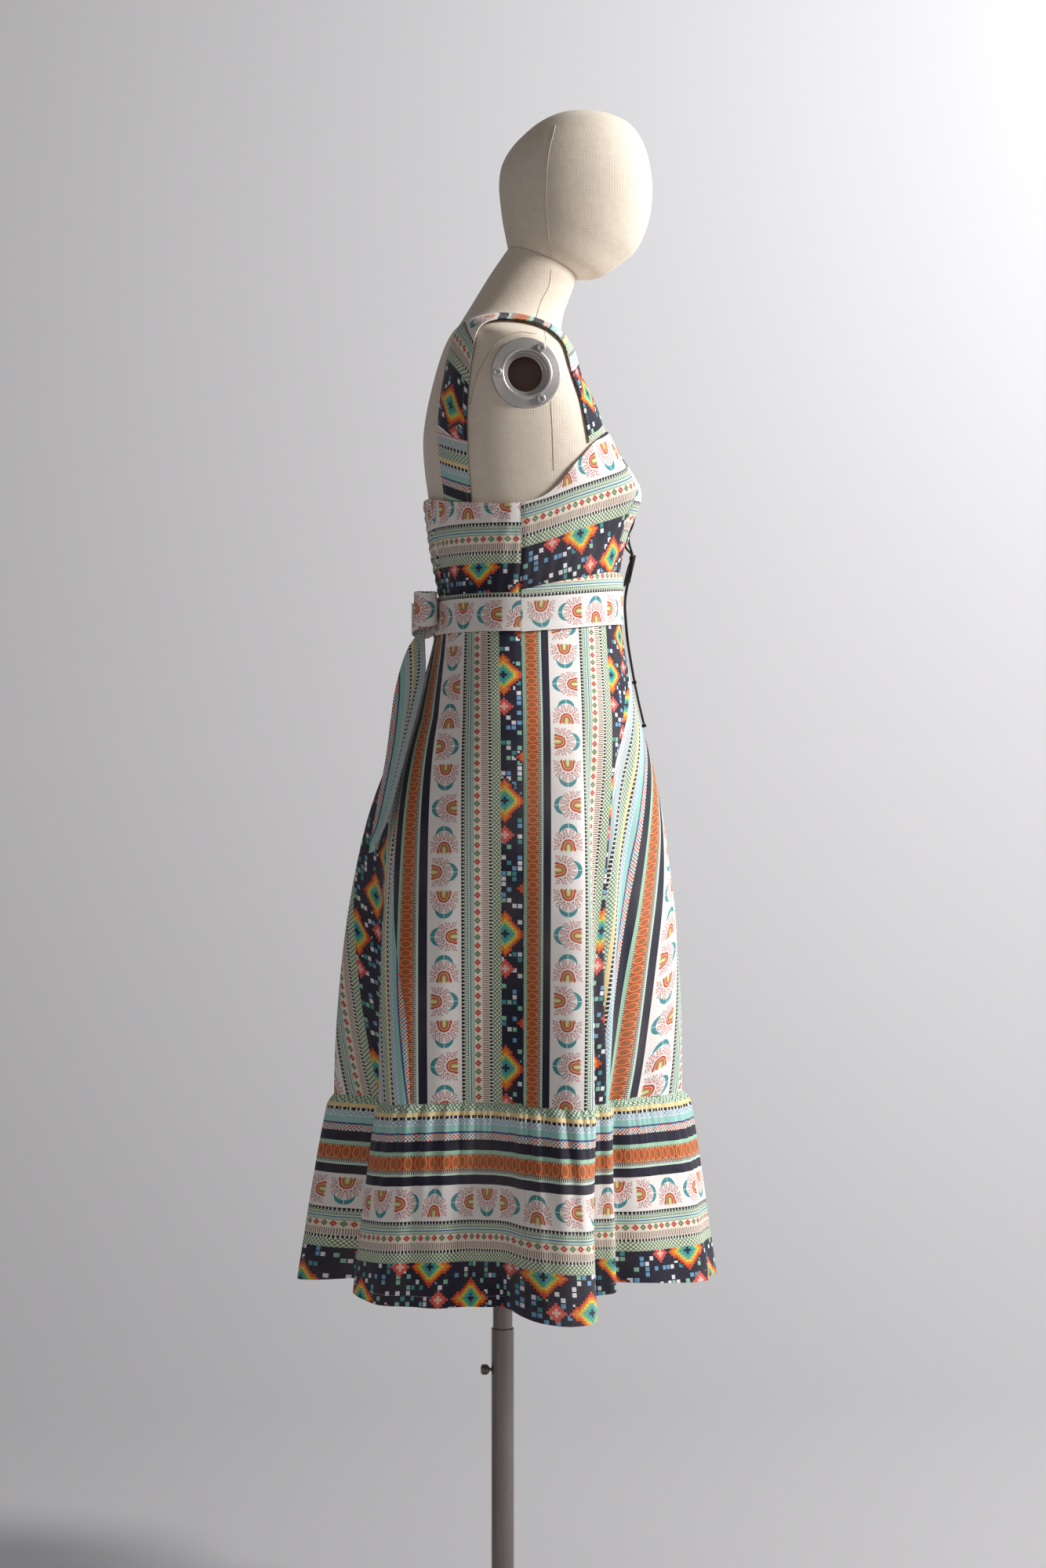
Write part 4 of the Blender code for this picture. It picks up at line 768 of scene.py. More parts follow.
def finish_mesh(name, places, faces, materials, body, smooth=60):
    mesh = bpy.data.meshes.new(name)
    mesh.from_pydata(np.asarray(places).reshape(-1, 3).tolist(), [], [tuple(f) for f in faces])
    for material in materials:
        mesh.materials.append(material)
    mesh.shade_smooth()
    mesh.set_sharp_from_angle(angle=math.radians(smooth))
    obj = bpy.data.objects.new(name, mesh)
    bpy.context.scene.collection.objects.link(obj)
    if body:
        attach(obj, body)
    return obj


def write_cut(obj, per_point):
    cut = obj.data.uv_layers.new(name="cut")
    corners = np.empty(len(obj.data.loops), int)
    obj.data.loops.foreach_get("vertex_index", corners)
    cut.data.foreach_set("uv", np.asarray(per_point, np.float32)[corners].ravel())


def sheet_of(node, points, cut, outward=None, low=WALL - 0.0011, high=WALL):
    """A shell of cloth for its CAD part. Low and high say how far its two skins lie over the grid."""
    facing, turned_round = facings(points, from_axis(points) if outward is None else outward)
    rows, columns = points.shape[:2]
    number = np.arange(rows * columns).reshape(rows, columns)
    quads = np.stack([number[:-1, :-1], number[:-1, 1:], number[1:, 1:], number[1:, :-1]], -1).reshape(-1, 4)
    border = np.concatenate([number[0, :-1], number[:-1, -1], number[-1, :0:-1], number[:0:-1, 0]])
    if turned_round:
        quads, border = quads[:, ::-1], border[::-1]
    count, after = rows * columns, np.roll(border, -1)
    rim = np.stack([after, border, border + count, after + count], -1)
    faces = np.concatenate([quads, rim, quads[:, ::-1] + count])
    places = np.concatenate([(points + facing * high).reshape(-1, 3), (points + facing * low).reshape(-1, 3)])
    obj = finish_mesh(f"{node}_cloth", places, faces, [cotton, cotton_inside], "form")
    inside = np.zeros(len(faces), int)
    inside[-len(quads) :] = 1
    obj.data.polygons.foreach_set("material_index", inside)
    write_cut(obj, np.tile(np.stack(cut, -1).reshape(-1, 2), (2, 1)))
    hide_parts(node)
    return obj


def seam_turn(rows, columns, width, ends=(True, True)):
    """How far the cloth turns in beside the seams at the first and the last column."""
    across = np.linspace(0.0, 1.0, columns) if np.isscalar(columns) else columns
    inward = np.zeros_like(across)
    for at, sewn in ((0.0, ends[0]), (1.0, ends[1])):
        if sewn:
            inward += np.exp(-((np.abs(across - at) * width / 0.0026) ** 2))
    return -0.0009 * np.tile(inward, (rows, 1))


print("sheet helper ready")

# %% [markdown]
# The lace at the front is a black braided cord. Its two free ends leave the knot, hang over the waistband
# and end in small knots. Free cords come first, because everything else is arranged round them. Each is a
# tube along a smooth line, with its ends closed.


# %% Cords and tubes
ROUNDED_END = (
    # how far out, how wide, in radii of the tube
    (0.55, 0.7), (0.2, 0.95),
)  # fmt: skip


def smooth_route(points, count):
    """Evenly spaced points on a smooth curve through a route's own points."""
    route = np.array([tuple(p) for p in points], float)
    keys = np.arange(len(route), dtype=float)
    dense = np.stack(between(np.column_stack([keys, route]).tolist(), np.linspace(0, keys[-1], 240)), -1)
    gone = np.concatenate([[0.0], np.cumsum(np.linalg.norm(np.diff(dense, axis=0), axis=1))])
    even = np.linspace(0.0, gone[-1], count)
    return np.stack([np.interp(even, gone, dense[:, i]) for i in range(3)], -1)


def tube(name, path, radius, material, body, sides=12, closed=False):
    """A round tube along a path. Closed joins its end to its start, or else both ends are rounded."""
    path = np.asarray(path, float)
    heading = np.roll(path, -1, 0) - np.roll(path, 1, 0) if closed else np.gradient(path, axis=0)
    heading /= np.linalg.norm(heading, axis=1, keepdims=True)
    side = np.cross(heading[0], (0.0, 0.0, 1.0))
    if np.linalg.norm(side) < 0.1:
        side = np.cross(heading[0], (1.0, 0.0, 0.0))
    around = np.linspace(0.0, 2 * np.pi, sides, endpoint=False)
    rings, gone = [], np.concatenate([[0.0], np.cumsum(np.linalg.norm(np.diff(path, axis=0), axis=1))])
    for number, (place, ahead) in enumerate(zip(path, heading)):
        side = side - ahead * side.dot(ahead)
        side /= np.linalg.norm(side)
        other = np.cross(ahead, side)
        ring = place + radius * (np.cos(around)[:, None] * side + np.sin(around)[:, None] * other)
        if not closed and number in (0, len(path) - 1):
            out = -ahead if number == 0 else ahead
            cap = [place + out * radius * rise + (ring - place) * width for rise, width in ROUNDED_END]
            rings += cap + [ring] if number == 0 else [ring] + cap[::-1]
        else:
            rings.append(ring)
    places = np.concatenate(rings)
    count, n = len(rings), sides
    faces = []
    for i in range(count if closed else count - 1):
        for j in range(n):
            k, a, b = (j + 1) % n, i * n, ((i + 1) % count) * n
            faces.append((a + j, a + k, b + k, b + j))
    if not closed:
        faces += [tuple(range(n))[::-1], tuple(range((count - 1) * n, count * n))]
    obj = finish_mesh(name, places, faces, [material], body)
    run = np.interp(np.arange(count), np.linspace(0, count - 1, len(gone)), gone)
    write_cut(obj, [(radius * around[j], run[i]) for i in range(count) for j in range(n)])
    return obj


def overhand_knot(name, centre, size, radius, material, heading=(0, 0, 1)):
    """A cord tied round itself, as a closed three-lobed line pulled tight."""
    t = np.linspace(0.0, 2 * np.pi, 48, endpoint=False)
    line = np.stack([np.sin(t) + 2 * np.sin(2 * t), np.cos(t) - 2 * np.cos(2 * t), -1.6 * np.sin(3 * t)], -1)
    turned = Vector(heading).to_track_quat("Z", "Y").to_matrix()
    line = (np.array(turned) @ (line * (size - radius) / 3.0).T).T + np.array(centre)
    return tube(name, line, radius, material, "form", 8, closed=True)


CORD = 0.0030
for name, line in (("lace_end_long", LACE_LONG), ("lace_end_short", LACE_SHORT)):
    path = smooth_route(line, 36)
    cord = tube(f"{name}_cord", path, CORD / 2, cord_black, "form", 12)
    heading = path[-1] - path[-2]
    heading /= np.linalg.norm(heading)
    knot = overhand_knot(f"{name}_tied", path[-1] + heading * 0.0033, 0.0034, 0.0013, cord_black, heading)
    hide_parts(name)
    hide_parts(f"{name}_knot")

# %% [markdown]
# The form under the dress is a padded, linen-covered torso with a neck and a plain egg for a head. It has
# no limbs and no face. Each is lofted through rings, first as the tables give them and then with finer
# rings between.


# %% Torso and head
FORM_SIDES = 96


def lofted(key_rings, between_rings):
    """More rings between the given ones, on a smooth line through each ring's points."""
    keys = np.arange(len(key_rings), dtype=float)
    rows = np.column_stack([keys, np.array(key_rings).reshape(len(key_rings), -1)]).tolist()
    fine = np.linspace(0, keys[-1], (len(key_rings) - 1) * between_rings + 1)
    return np.stack(between(rows, fine), -1).reshape(len(fine), -1, 3)


def tipped_ring(back_y, back_z, front_y, front_z, half_width, squareness):
    angles = np.linspace(0.0, 360.0, FORM_SIDES, endpoint=False)
    back, front = np.array((0.0, back_y, back_z)), np.array((0.0, front_y, front_z))
    forward = (front - back) / 2
    reach = float(np.linalg.norm(forward))
    out = oval(angles, half_width, reach, reach, squareness)
    turned = np.radians(angles)
    side = np.stack([-np.sin(turned) * out, 0 * out, 0 * out], -1)
    return (back + front) / 2 + (forward / reach) * (np.cos(turned) * out)[:, None] + side


def ringed_solid(name, rings, material, body, crown=False):
    count, n = rings.shape[:2]
    places, faces = rings.reshape(-1, 3), []
    for i in range(count - 1):
        for j in range(n):
            k = (j + 1) % n
            faces.append((i * n + j, i * n + k, (i + 1) * n + k, (i + 1) * n + j))
    faces.append(tuple(range(n))[::-1])
    last = (count - 1) * n
    if crown:
        places = np.vstack([places, rings[-1].mean(0) + (0.0, 0.0, 0.0006)])
        faces += [(last + j, last + (j + 1) % n, len(places) - 1) for j in range(n)]
    else:
        faces.append(tuple(range(last, last + n)))
    obj = finish_mesh(name, places, faces, [material], body, 50)
    mesh = bmesh.new()
    mesh.from_mesh(obj.data)
    bmesh.ops.recalc_face_normals(mesh, faces=mesh.faces)
    mesh.to_mesh(obj.data)
    mesh.free()
    return obj


angles = np.linspace(0.0, 360.0, FORM_SIDES, endpoint=False)
heights = [row[0] for row in TORSO]
key_rings = [
    round_axis(angles, z, torso_radius(angles, z) + chest_rise(angles, z, 0.0160, 0.0)) for z in heights
]
foot = key_rings[0] * (0.95, 0.95, 1.0) - (0.0, 0.0, 0.004)
key_rings += [tipped_ring(*row, 2.3 if number < 2 else 2.05) for number, row in enumerate(NECK)]
rings = np.concatenate([foot[None], lofted(key_rings, 5)])
torso = ringed_solid("form_torso_linen", rings, linen, "form")
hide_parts("form_torso")
head = ringed_solid(
    "form_head_linen", lofted([tipped_ring(*row, 2.05) for row in HEAD], 6), linen, "form", crown=True
)
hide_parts("form_head")
print("torso rings:", len(rings), "head points:", len(head.data.vertices))


# %% Holes in the torso for the sockets and the pole
SOCKET_X, SOCKET_Y, SOCKET_Z = 0.1500, -0.0190, 1.5900
SOCKET_TURN = math.radians(6.0)


def socket_place(side):
    out = Vector((side * math.cos(SOCKET_TURN), -math.sin(SOCKET_TURN), 0.0))
    turned_out = out.to_track_quat("Z", "Y").to_matrix().to_4x4()
    return Matrix.Translation((SOCKET_X * side, SOCKET_Y, SOCKET_Z)) @ turned_out


def drill(obj, place, radius, depth):
    """Cuts a round hole whose far end lies at the place's own origin."""
    mesh = bmesh.new()
    bmesh.ops.create_cone(mesh, cap_ends=True, segments=64, radius1=radius, radius2=radius, depth=depth)
    bmesh.ops.transform(mesh, matrix=place @ Matrix.Translation((0, 0, depth / 2)), verts=mesh.verts)
    data = bpy.data.meshes.new("drill")
    mesh.to_mesh(data)
    mesh.free()
    cutter = bpy.data.objects.new("drill", data)
    bpy.context.scene.collection.objects.link(cutter)
    cut = obj.modifiers.new("hole", "BOOLEAN")
    cut.operation, cut.object, cut.solver = "DIFFERENCE", cutter, "EXACT"
    graph = bpy.context.evaluated_depsgraph_get()
    drilled = bpy.data.meshes.new_from_object(obj.evaluated_get(graph))
    obj.modifiers.clear()
    obj.data = drilled
    bpy.data.objects.remove(cutter)


for side in (-1, 1):
    drill(torso, socket_place(side) @ Matrix.Translation((0, 0, -0.0004)), 0.0434, 0.05)
    drill(torso, socket_place(side) @ Matrix.Translation((0, 0, -0.0264)), 0.0299, 0.06)
drill(torso, Matrix.Translation((0, 0, 1.1044)) @ Matrix.Rotation(math.pi, 4, "X"), 0.0130, 0.12)
torso.data.set_sharp_from_angle(angle=math.radians(50))
print("torso faces after drilling:", len(torso.data.polygons))

# %% [markdown]
# Round metal parts are turned on a lathe: an outline is spun about its own axis. The socket plates, the
# tubes, the hub, the round base and the thumb screw are all made so, with small rounded edges that catch
# the light.


# %% Turned parts
def turned(name, outline, material, body, place=Matrix(), sides=64, slot=None, replaces=()):
    """Spins an outline of (radius, height) rows, listed once round the section, about the place's Z."""
    line = np.array(outline, float)
    around = np.linspace(0.0, 2 * np.pi, sides, endpoint=False)
    mesh = bmesh.new()
    rings = []
    for radius, z in line:
        if radius < 1e-6:
            rings.append([mesh.verts.new((0.0, 0.0, z))])
        else:
            rings.append([mesh.verts.new((radius * math.cos(a), radius * math.sin(a), z)) for a in around])
    for low, high in zip(rings, rings[1:] + rings[:1]):
        if len(low) == 1 and len(high) == 1:
            continue
        for j in range(sides):
            k = (j + 1) % sides
            corners = [low[j % len(low)], low[k % len(low)], high[k % len(high)], high[j % len(high)]]
            mesh.faces.new(list(dict.fromkeys(corners)))
    bmesh.ops.recalc_face_normals(mesh, faces=mesh.faces)
    bmesh.ops.transform(mesh, matrix=place, verts=mesh.verts)
    data = bpy.data.meshes.new(name)
    mesh.to_mesh(data)
    mesh.free()
    data.materials.append(material)
    data.shade_smooth()
    data.set_sharp_from_angle(angle=math.radians(38))
    obj = bpy.data.objects.new(name, data)
    bpy.context.scene.collection.objects.link(obj)
    if body:
        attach(obj, body)
    for node in replaces:
        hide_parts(node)
    return obj


def rounded(corners, radius=0.0006):
    """An outline with each corner cut off a little on both sides, as by a file."""
    corners = [Vector(c) for c in corners]
    made = []
    for i, corner in enumerate(corners):
        for neighbour in (corners[i - 1], corners[(i + 1) % len(corners)]):
            away = neighbour - corner
            if corner.x < 1e-6:
                made.append(tuple(corner))
                break
            made.append(tuple(corner + away.normalized() * min(radius, away.length * 0.4)))
    return made


for side, word in ((-1, "right"), (1, "left")):
    plate = [
        (0.0418, 0.0040), (0.0430, 0.0026), (0.0430, 0.0), (0.0295, 0.0), (0.0295, -0.026), (0.0, -0.026),
        (0.0, -0.0236), (0.0215, -0.0236), (0.0215, -0.0060), (0.0269, -0.0060), (0.0275, 0.0036),
        (0.0287, 0.0046), (0.0311, 0.0046), (0.0318, 0.0038),
    ]  # fmt: skip
    socket = turned(
        f"arm_socket_{word}_alloy", rounded(plate, 0.0004), alloy, "form", socket_place(side), 72,
        "socket_alloy", [f"arm_socket_{word}"],
    )  # fmt: skip
    # The faces deep inside the hole take the darker metal, which is painted shade.
    socket.data.materials.append(bore_shade_metal)
    for face in socket.data.polygons:
        local = socket_place(side).inverted() @ face.center
        if local.z < -0.0064 and math.hypot(local.x, local.y) < 0.0226:
            face.material_index = 1
print("arm sockets turned")

# %% Stand
STAND_TOP, CLAMP_HEIGHT, BASE_HEIGHT = 0.397, 0.344, 0.0072
MAST_RADIUS, MAST_FOOT, MAST_TOP = 0.0125, 0.150, 1.104
rod = [(MAST_RADIUS, MAST_TOP), (MAST_RADIUS, MAST_FOOT), (0.0, MAST_FOOT), (0.0, MAST_TOP)]
turned("mast_steel", rounded(rod), steel, "mast", slot="stand_steel", replaces=["mast"])
tube_wall = [
    (0.0144, STAND_TOP), (0.0144, CLAMP_HEIGHT + 0.004), (0.0144, CLAMP_HEIGHT - 0.004), (0.0144, 0.0077),
    (0.0128, 0.0077), (0.0128, STAND_TOP),
]  # fmt: skip
lower_tube = turned(
    "stand_tube_steel", rounded(tube_wall), steel, "stand", slot="stand_steel", replaces=["stand_tube"]
)
screw_axis = Matrix.Translation((0.0, 0.0, CLAMP_HEIGHT)) @ Matrix.Rotation(math.radians(-90.0), 4, "X")
drill(lower_tube, screw_axis @ Matrix.Translation((0, 0, 0.010)), 0.0028, 0.02)
lower_tube.data.set_sharp_from_angle(angle=math.radians(38))
hub = [
    (0.0186, 0.062), (0.0234, 0.052), (0.0262, 0.035), (0.0300, 0.020), (0.0350, 0.0130), (0.0405, 0.0106),
    (0.0405, 0.0076), (0.0147, 0.0076), (0.0147, 0.062),
]  # fmt: skip
turned("stand_hub_steel", rounded(hub, 0.0008), steel, "stand", slot="stand_steel", replaces=["stand_hub"])
plate = [
    (0.0, BASE_HEIGHT), (0.042, BASE_HEIGHT), (0.175, 0.0057), (0.1815, 0.0048), (0.1840, 0.0032),
    (0.1850, 0.0007), (0.1838, 0.0), (0.0, 0.0),
]  # fmt: skip
turned("stand_base_steel", plate, steel, "stand", sides=128, slot="stand_steel", replaces=["stand_base"])
print("stand turned, mast from", MAST_FOOT, "to", MAST_TOP, "m")

# %% [markdown]
# Small things that repeat are laid out by Geometry Nodes. The first tree puts a copy of one part at each
# point of a layout, turned as the layout says. It makes the plates' screws, the eyelets and the ribs of
# the thumb screw. The second tree turns lines into rows of stitches, evenly spaced and sunk half into the
# cloth. Both end in Realize Instances and Set Material, and the result is kept as a plain mesh.


# %% Trees that repeat
def start_tree(name, inputs):
    tree = bpy.data.node_groups.new(name, "GeometryNodeTree")
    tree.interface.new_socket("Layout", in_out="INPUT", socket_type="NodeSocketGeometry")
    for label, kind in inputs:
        tree.interface.new_socket(label, in_out="INPUT", socket_type=kind)
    tree.interface.new_socket("Geometry", in_out="OUTPUT", socket_type="NodeSocketGeometry")
    return tree, tree.nodes.new("NodeGroupInput"), tree.nodes.new("NodeGroupOutput")


def end_tree(tree, entry, leave, instances):
    realize = tree.nodes.new("GeometryNodeRealizeInstances")
    paint = tree.nodes.new("GeometryNodeSetMaterial")
    tree.links.new(instances, realize.inputs[0])
    tree.links.new(realize.outputs[0], paint.inputs["Geometry"])
    tree.links.new(entry.outputs["Material"], paint.inputs["Material"])
    tree.links.new(paint.outputs[0], leave.inputs[0])


def copies_tree():
    inputs = [("Part", "NodeSocketObject"), ("Material", "NodeSocketMaterial")]
    tree, entry, leave = start_tree("copies", inputs)
    part = tree.nodes.new("GeometryNodeObjectInfo")
    turns = tree.nodes.new("GeometryNodeInputNamedAttribute")
    turns.data_type = "FLOAT_VECTOR"
    turns.inputs["Name"].default_value = "turn"
    rotation = tree.nodes.new("FunctionNodeEulerToRotation")
    place = tree.nodes.new("GeometryNodeInstanceOnPoints")
    tree.links.new(entry.outputs["Part"], part.inputs["Object"])
    tree.links.new(turns.outputs[0], rotation.inputs[0])
    tree.links.new(entry.outputs["Layout"], place.inputs["Points"])
    tree.links.new(part.outputs["Geometry"], place.inputs["Instance"])
    tree.links.new(rotation.outputs[0], place.inputs["Rotation"])
    end_tree(tree, entry, leave, place.outputs[0])
    return tree


def stitches_tree():
    sizes = [("Pitch", "NodeSocketFloat"), ("Length", "NodeSocketFloat"), ("Thickness", "NodeSocketFloat")]
    tree, entry, leave = start_tree("stitches", sizes + [("Material", "NodeSocketMaterial")])
    to_curve = tree.nodes.new("GeometryNodeMeshToCurve")
    spread = tree.nodes.new("GeometryNodeResampleCurve")
    if "Mode" in spread.inputs:
        spread.inputs["Mode"].default_value = "Length"
    else:
        spread.mode = "LENGTH"
    tangent = tree.nodes.new("GeometryNodeInputTangent")
    along = tree.nodes.new("FunctionNodeAlignRotationToVector")
    along.axis = "X"
    bead = tree.nodes.new("GeometryNodeMeshUVSphere")
    bead.inputs["Segments"].default_value, bead.inputs["Rings"].default_value = 6, 4
    bead.inputs["Radius"].default_value = 0.5
    size = tree.nodes.new("ShaderNodeCombineXYZ")
    place = tree.nodes.new("GeometryNodeInstanceOnPoints")
    tree.links.new(entry.outputs["Layout"], to_curve.inputs["Mesh"])
    tree.links.new(to_curve.outputs[0], spread.inputs["Curve"])
    tree.links.new(entry.outputs["Pitch"], spread.inputs["Length"])
    tree.links.new(tangent.outputs[0], along.inputs["Vector"])
    tree.links.new(entry.outputs["Length"], size.inputs[0])
    tree.links.new(entry.outputs["Thickness"], size.inputs[1])
    tree.links.new(entry.outputs["Thickness"], size.inputs[2])
    tree.links.new(spread.outputs[0], place.inputs["Points"])
    tree.links.new(bead.outputs["Mesh"], place.inputs["Instance"])
    tree.links.new(along.outputs[0], place.inputs["Rotation"])
    tree.links.new(size.outputs[0], place.inputs["Scale"])
    end_tree(tree, entry, leave, place.outputs[0])
    return tree


def laid_out(name, tree, mesh, values, body, replaces=()):
    """Runs a tree on a layout mesh and keeps the result as a plain mesh on that body."""
    layout = bpy.data.objects.new(name, mesh)
    bpy.context.scene.collection.objects.link(layout)
    modifier = layout.modifiers.new("repeat", "NODES")
    modifier.node_group = tree
    for item in tree.interface.items_tree:
        if item.in_out == "INPUT" and item.name in values:
            modifier[item.identifier] = values[item.name]
    graph = bpy.context.evaluated_depsgraph_get()
    made = bpy.data.meshes.new_from_object(layout.evaluated_get(graph))
    layout.modifiers.clear()
    layout.data = made
    made.shade_smooth()
    made.set_sharp_from_angle(angle=math.radians(40))
    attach(layout, body)
    for node in replaces:
        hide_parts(node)
    print(f"{name}: {len(made.polygons)} faces")
    return layout


def points_mesh(places):
    """A layout of bare points, each with the turn of its place."""
    mesh = bpy.data.meshes.new("layout")
    mesh.from_pydata([tuple(place.translation) for place in places], [], [])
    turns = mesh.attributes.new("turn", "FLOAT_VECTOR", "POINT")
    for number, place in enumerate(places):
        turns.data[number].vector = tuple(place.to_euler())
    return mesh


def lines_mesh(lines):
    """A layout of separate lines."""
    mesh, places, edges = bpy.data.meshes.new("layout"), [], []
    for line in lines:
        edges += [(len(places) + i, len(places) + i + 1) for i in range(len(line) - 1)]
        places += [tuple(p) for p in line]
    mesh.from_pydata(places, edges, [])
    return mesh


copies, stitches = copies_tree(), stitches_tree()
print("trees:", copies.name, "and", stitches.name)

# %% Screws of the socket plates
screw_head = [
    (0.0052, 0.0034), (0.0055, 0.0020), (0.0055, 0.0), (0.0, 0.0), (0.0, 0.0014), (0.0024, 0.0014),
    (0.0026, 0.0034),
]  # fmt: skip
screw = turned("screw_pattern", rounded(screw_head, 0.0003), alloy, None, sides=24)
places = [
    socket_place(side)
    @ Matrix.Rotation(math.radians(180.0 + 120.0 * number), 4, "Z")
    @ Matrix.Translation((0.0360, 0.0, 0.0046))
    for side in (-1, 1)
    for number in range(3)
]
screw_nodes = [f"arm_screw_{word}_{n}" for word in ("right", "left") for n in (1, 2, 3)]
values = {"Part": screw, "Material": alloy}
laid_out("arm_screws_alloy", copies, points_mesh(places), values, "form", screw_nodes)
bpy.data.objects.remove(screw)

# %% Thumb screw with its ribs
RIBS, start = 28, 0.0174
screw_line = [
    (0.0, start + 0.0105), (0.0042, start + 0.0105), (0.0056, start + 0.0096), (0.0060, start + 0.0085),
    (0.0060, start + 0.0022), (0.0052, start + 0.0008), (0.0044, start), (0.0024, start),
    (0.0024, 0.0129), (0.0, 0.0129),
]  # fmt: skip
turned("clamp_screw_steel", screw_line, steel, "clamp", screw_axis, 48, "stand_steel", ["clamp_screw"])
rib = finish_mesh(
    "rib_pattern",
    [(x, y, z) for z in (0.0, 0.0060) for x, y in ((-0.0003, -0.0004), (0.0006, 0.0), (-0.0003, 0.0004))],
    [(0, 2, 1), (3, 4, 5), (0, 1, 4, 3), (1, 2, 5, 4), (2, 0, 3, 5)], [steel], None,
)  # fmt: skip
places = [
    screw_axis
    @ Matrix.Rotation(2 * math.pi * number / RIBS, 4, "Z")
    @ Matrix.Translation((0.0060, 0.0, start + 0.0024))
    for number in range(RIBS)
]
values = {"Part": rib, "Material": steel}
laid_out("clamp_ribs_steel", copies, points_mesh(places), values, "clamp")
bpy.data.objects.remove(rib)

# %% [markdown]
# The linen cover is sewn from panels. A corded piping runs over the head from the crown to the jaw, finer
# seams cross the neck and the shoulder caps, and a seam runs down from each arm socket. Each seam is
# drawn as a line seen from the camera, thrown onto the form, and then given a thin raised ridge. The far
# side mirrors the near side.


# %% Seams of the form
def thrown(form_tree, line, inside):
    """Points of a line given in thousandths of the view, thrown onto the form from the camera."""
    right = Vector((math.cos(turn), math.sin(turn), 0.0))
    hits = []
    for x, y in line:
        aim = CAMERA_AIM + right * ((x - 667.0) / 1000.0) + Vector((0, 0, 1)) * ((1000.0 - y) / 1000.0)
        ray = (aim - camera.location).normalized()
        hit, facing, _, _ = form_tree.ray_cast(camera.location, ray)
        if hit is not None:
            hits.append(hit + facing * inside)
    return hits


graph = bpy.context.evaluated_depsgraph_get()
graph.update()
torso_tree = BVHTree.FromObject(torso, graph)
head_tree = BVHTree.FromObject(head, graph)
FORM_SEAMS = [
    # name, which piece, radius, points
    ("head_side", "head", 0.0008, [(708, 160), (699, 200), (696, 250), (699, 300), (703, 328)]),
    ("neck_side", "torso", 0.0006, [(703, 345), (700, 365), (690, 385), (684, 405)]),
    (
        "shoulder_cap", "torso", 0.0008,
        [(600, 516), (607, 484), (620, 456), (637, 434), (660, 424), (684, 426)],
    ),
    ("side_seam", "torso", 0.0006, [(702, 512), (704, 540), (705, 565), (706, 600)]),
    ("chest_seam", "torso", 0.0005, [(637, 407), (665, 409), (689, 415), (695, 426), (696, 436)]),
]
for name, piece, radius, line in FORM_SEAMS:
    form_tree = head_tree if piece == "head" else torso_tree
    hits = thrown(form_tree, smooth_route([(x, y, 0) for x, y in line], 40)[:, :2].tolist(), 0.0)
    for word, mirror in (("right", 1.0), ("left", -1.0)):
        path = smooth_route([(p.x * mirror, p.y, p.z) for p in hits], 40)
        seam = tube(f"form_{name}_{word}", path, radius, piping, "form", 8)
print("seams of the form:", 2 * len(FORM_SEAMS))

# %% [markdown]
# The skirt has eight panels. The four at the sides are cut on the straight grain, so their bands run down
# beside the side seams. The split gores at the centre front and back are cut on a slant and mitred, so
# their bands meet in a chevron. Each panel is a grid between its two seam lines, on the folds of the
# table, with the cut map measured from its seam.


# %% Skirt panels
def front_gore_seam(z):
    return between(FRONT_GORE_SEAM, z)[0]


def back_gore_seam(z):
    return 180.0 - between(BACK_GORE_SEAM, z)[0]


def hanging_creases(angle, z):
    """Shallow upright creases that run out of the gathers and fade towards the waist."""
    turned = np.radians(angle)
    low = np.clip((1.12 - z) / 0.42, 0.0, 1.0) ** 1.5
    waves = np.sin(19 * turned + 2 * np.sin(3 * turned)) + 0.7 * np.sin(31 * turned + 5 * z + 1.0)
    near_waist = np.clip((z - 1.20) / 0.10, 0.0, 1.0)
    puckers = np.sin(83 * turned + 2 * np.sin(7 * turned)) * near_waist
    return 0.0012 * waves * low + 0.0004 * puckers


def upright(angle):
    """An edge that keeps one angle from top to bottom."""
    return lambda z: angle + 0 * z


def skirt_panel(node, first_edge, last_edge, columns, left, cut_rule):
    share = np.linspace(0.0, 1.0, 84)[:, None]
    across = eased(columns)[None, :]
    top = WAIST_SEAM - SEAM_GAP / 2
    z = FLOUNCE_SEAM + (top - FLOUNCE_SEAM) * share + 0 * across
    margin = math.degrees(SEAM_GAP / 2 / 0.15)
    angle = first_edge(z) + margin + (last_edge(z) - first_edge(z) - 2 * margin) * across
    if left:
        angle = 360.0 - angle
    z = z + (seam_level(angle) - FLOUNCE_SEAM) * (1.0 - share)
    radius = skirt_radius(angle, z) + seam_turn(84, across[0], 0.17) + hanging_creases(angle, z)
    points = round_axis(angle, z, radius)
    run, drop = lengths(points, 1), lengths(points[::-1], 0)[::-1]
    return sheet_of(node, points, cut_rule(run, drop, z))


def straight_cut(start, forward):
    """Bands that run down beside the first edge of the panel."""
    return lambda run, drop, z: (start + forward * run, drop.mean(1, keepdims=True) + 0 * run)


def front_slant(run, drop, z):
    """Bands that lean 7 degrees to the gore's seam, which is the panel's last edge."""
    inward = run[:, -1:] - run
    return 0.172 - 0.123 * (z - 1.090) + inward * 0.77, drop + inward * 0.38


def back_slant(run, drop, z):
    """Bands that lean 14 degrees to the centre back, which is the panel's last edge."""
    inward = run[:, -1:] - run
    return 0.091 + 0.241 * (z - 0.990) + inward * 0.97, drop - inward * 0.24


def from_side_seam(run, drop, z):
    """Bands beside the side seam, the first few of them drawn a little closer by it."""
    inward = run[:, -1:] - run
    return 0.2475 + inward + 0.24 * np.minimum(inward, 0.034), drop.mean(1, keepdims=True) + 0 * run


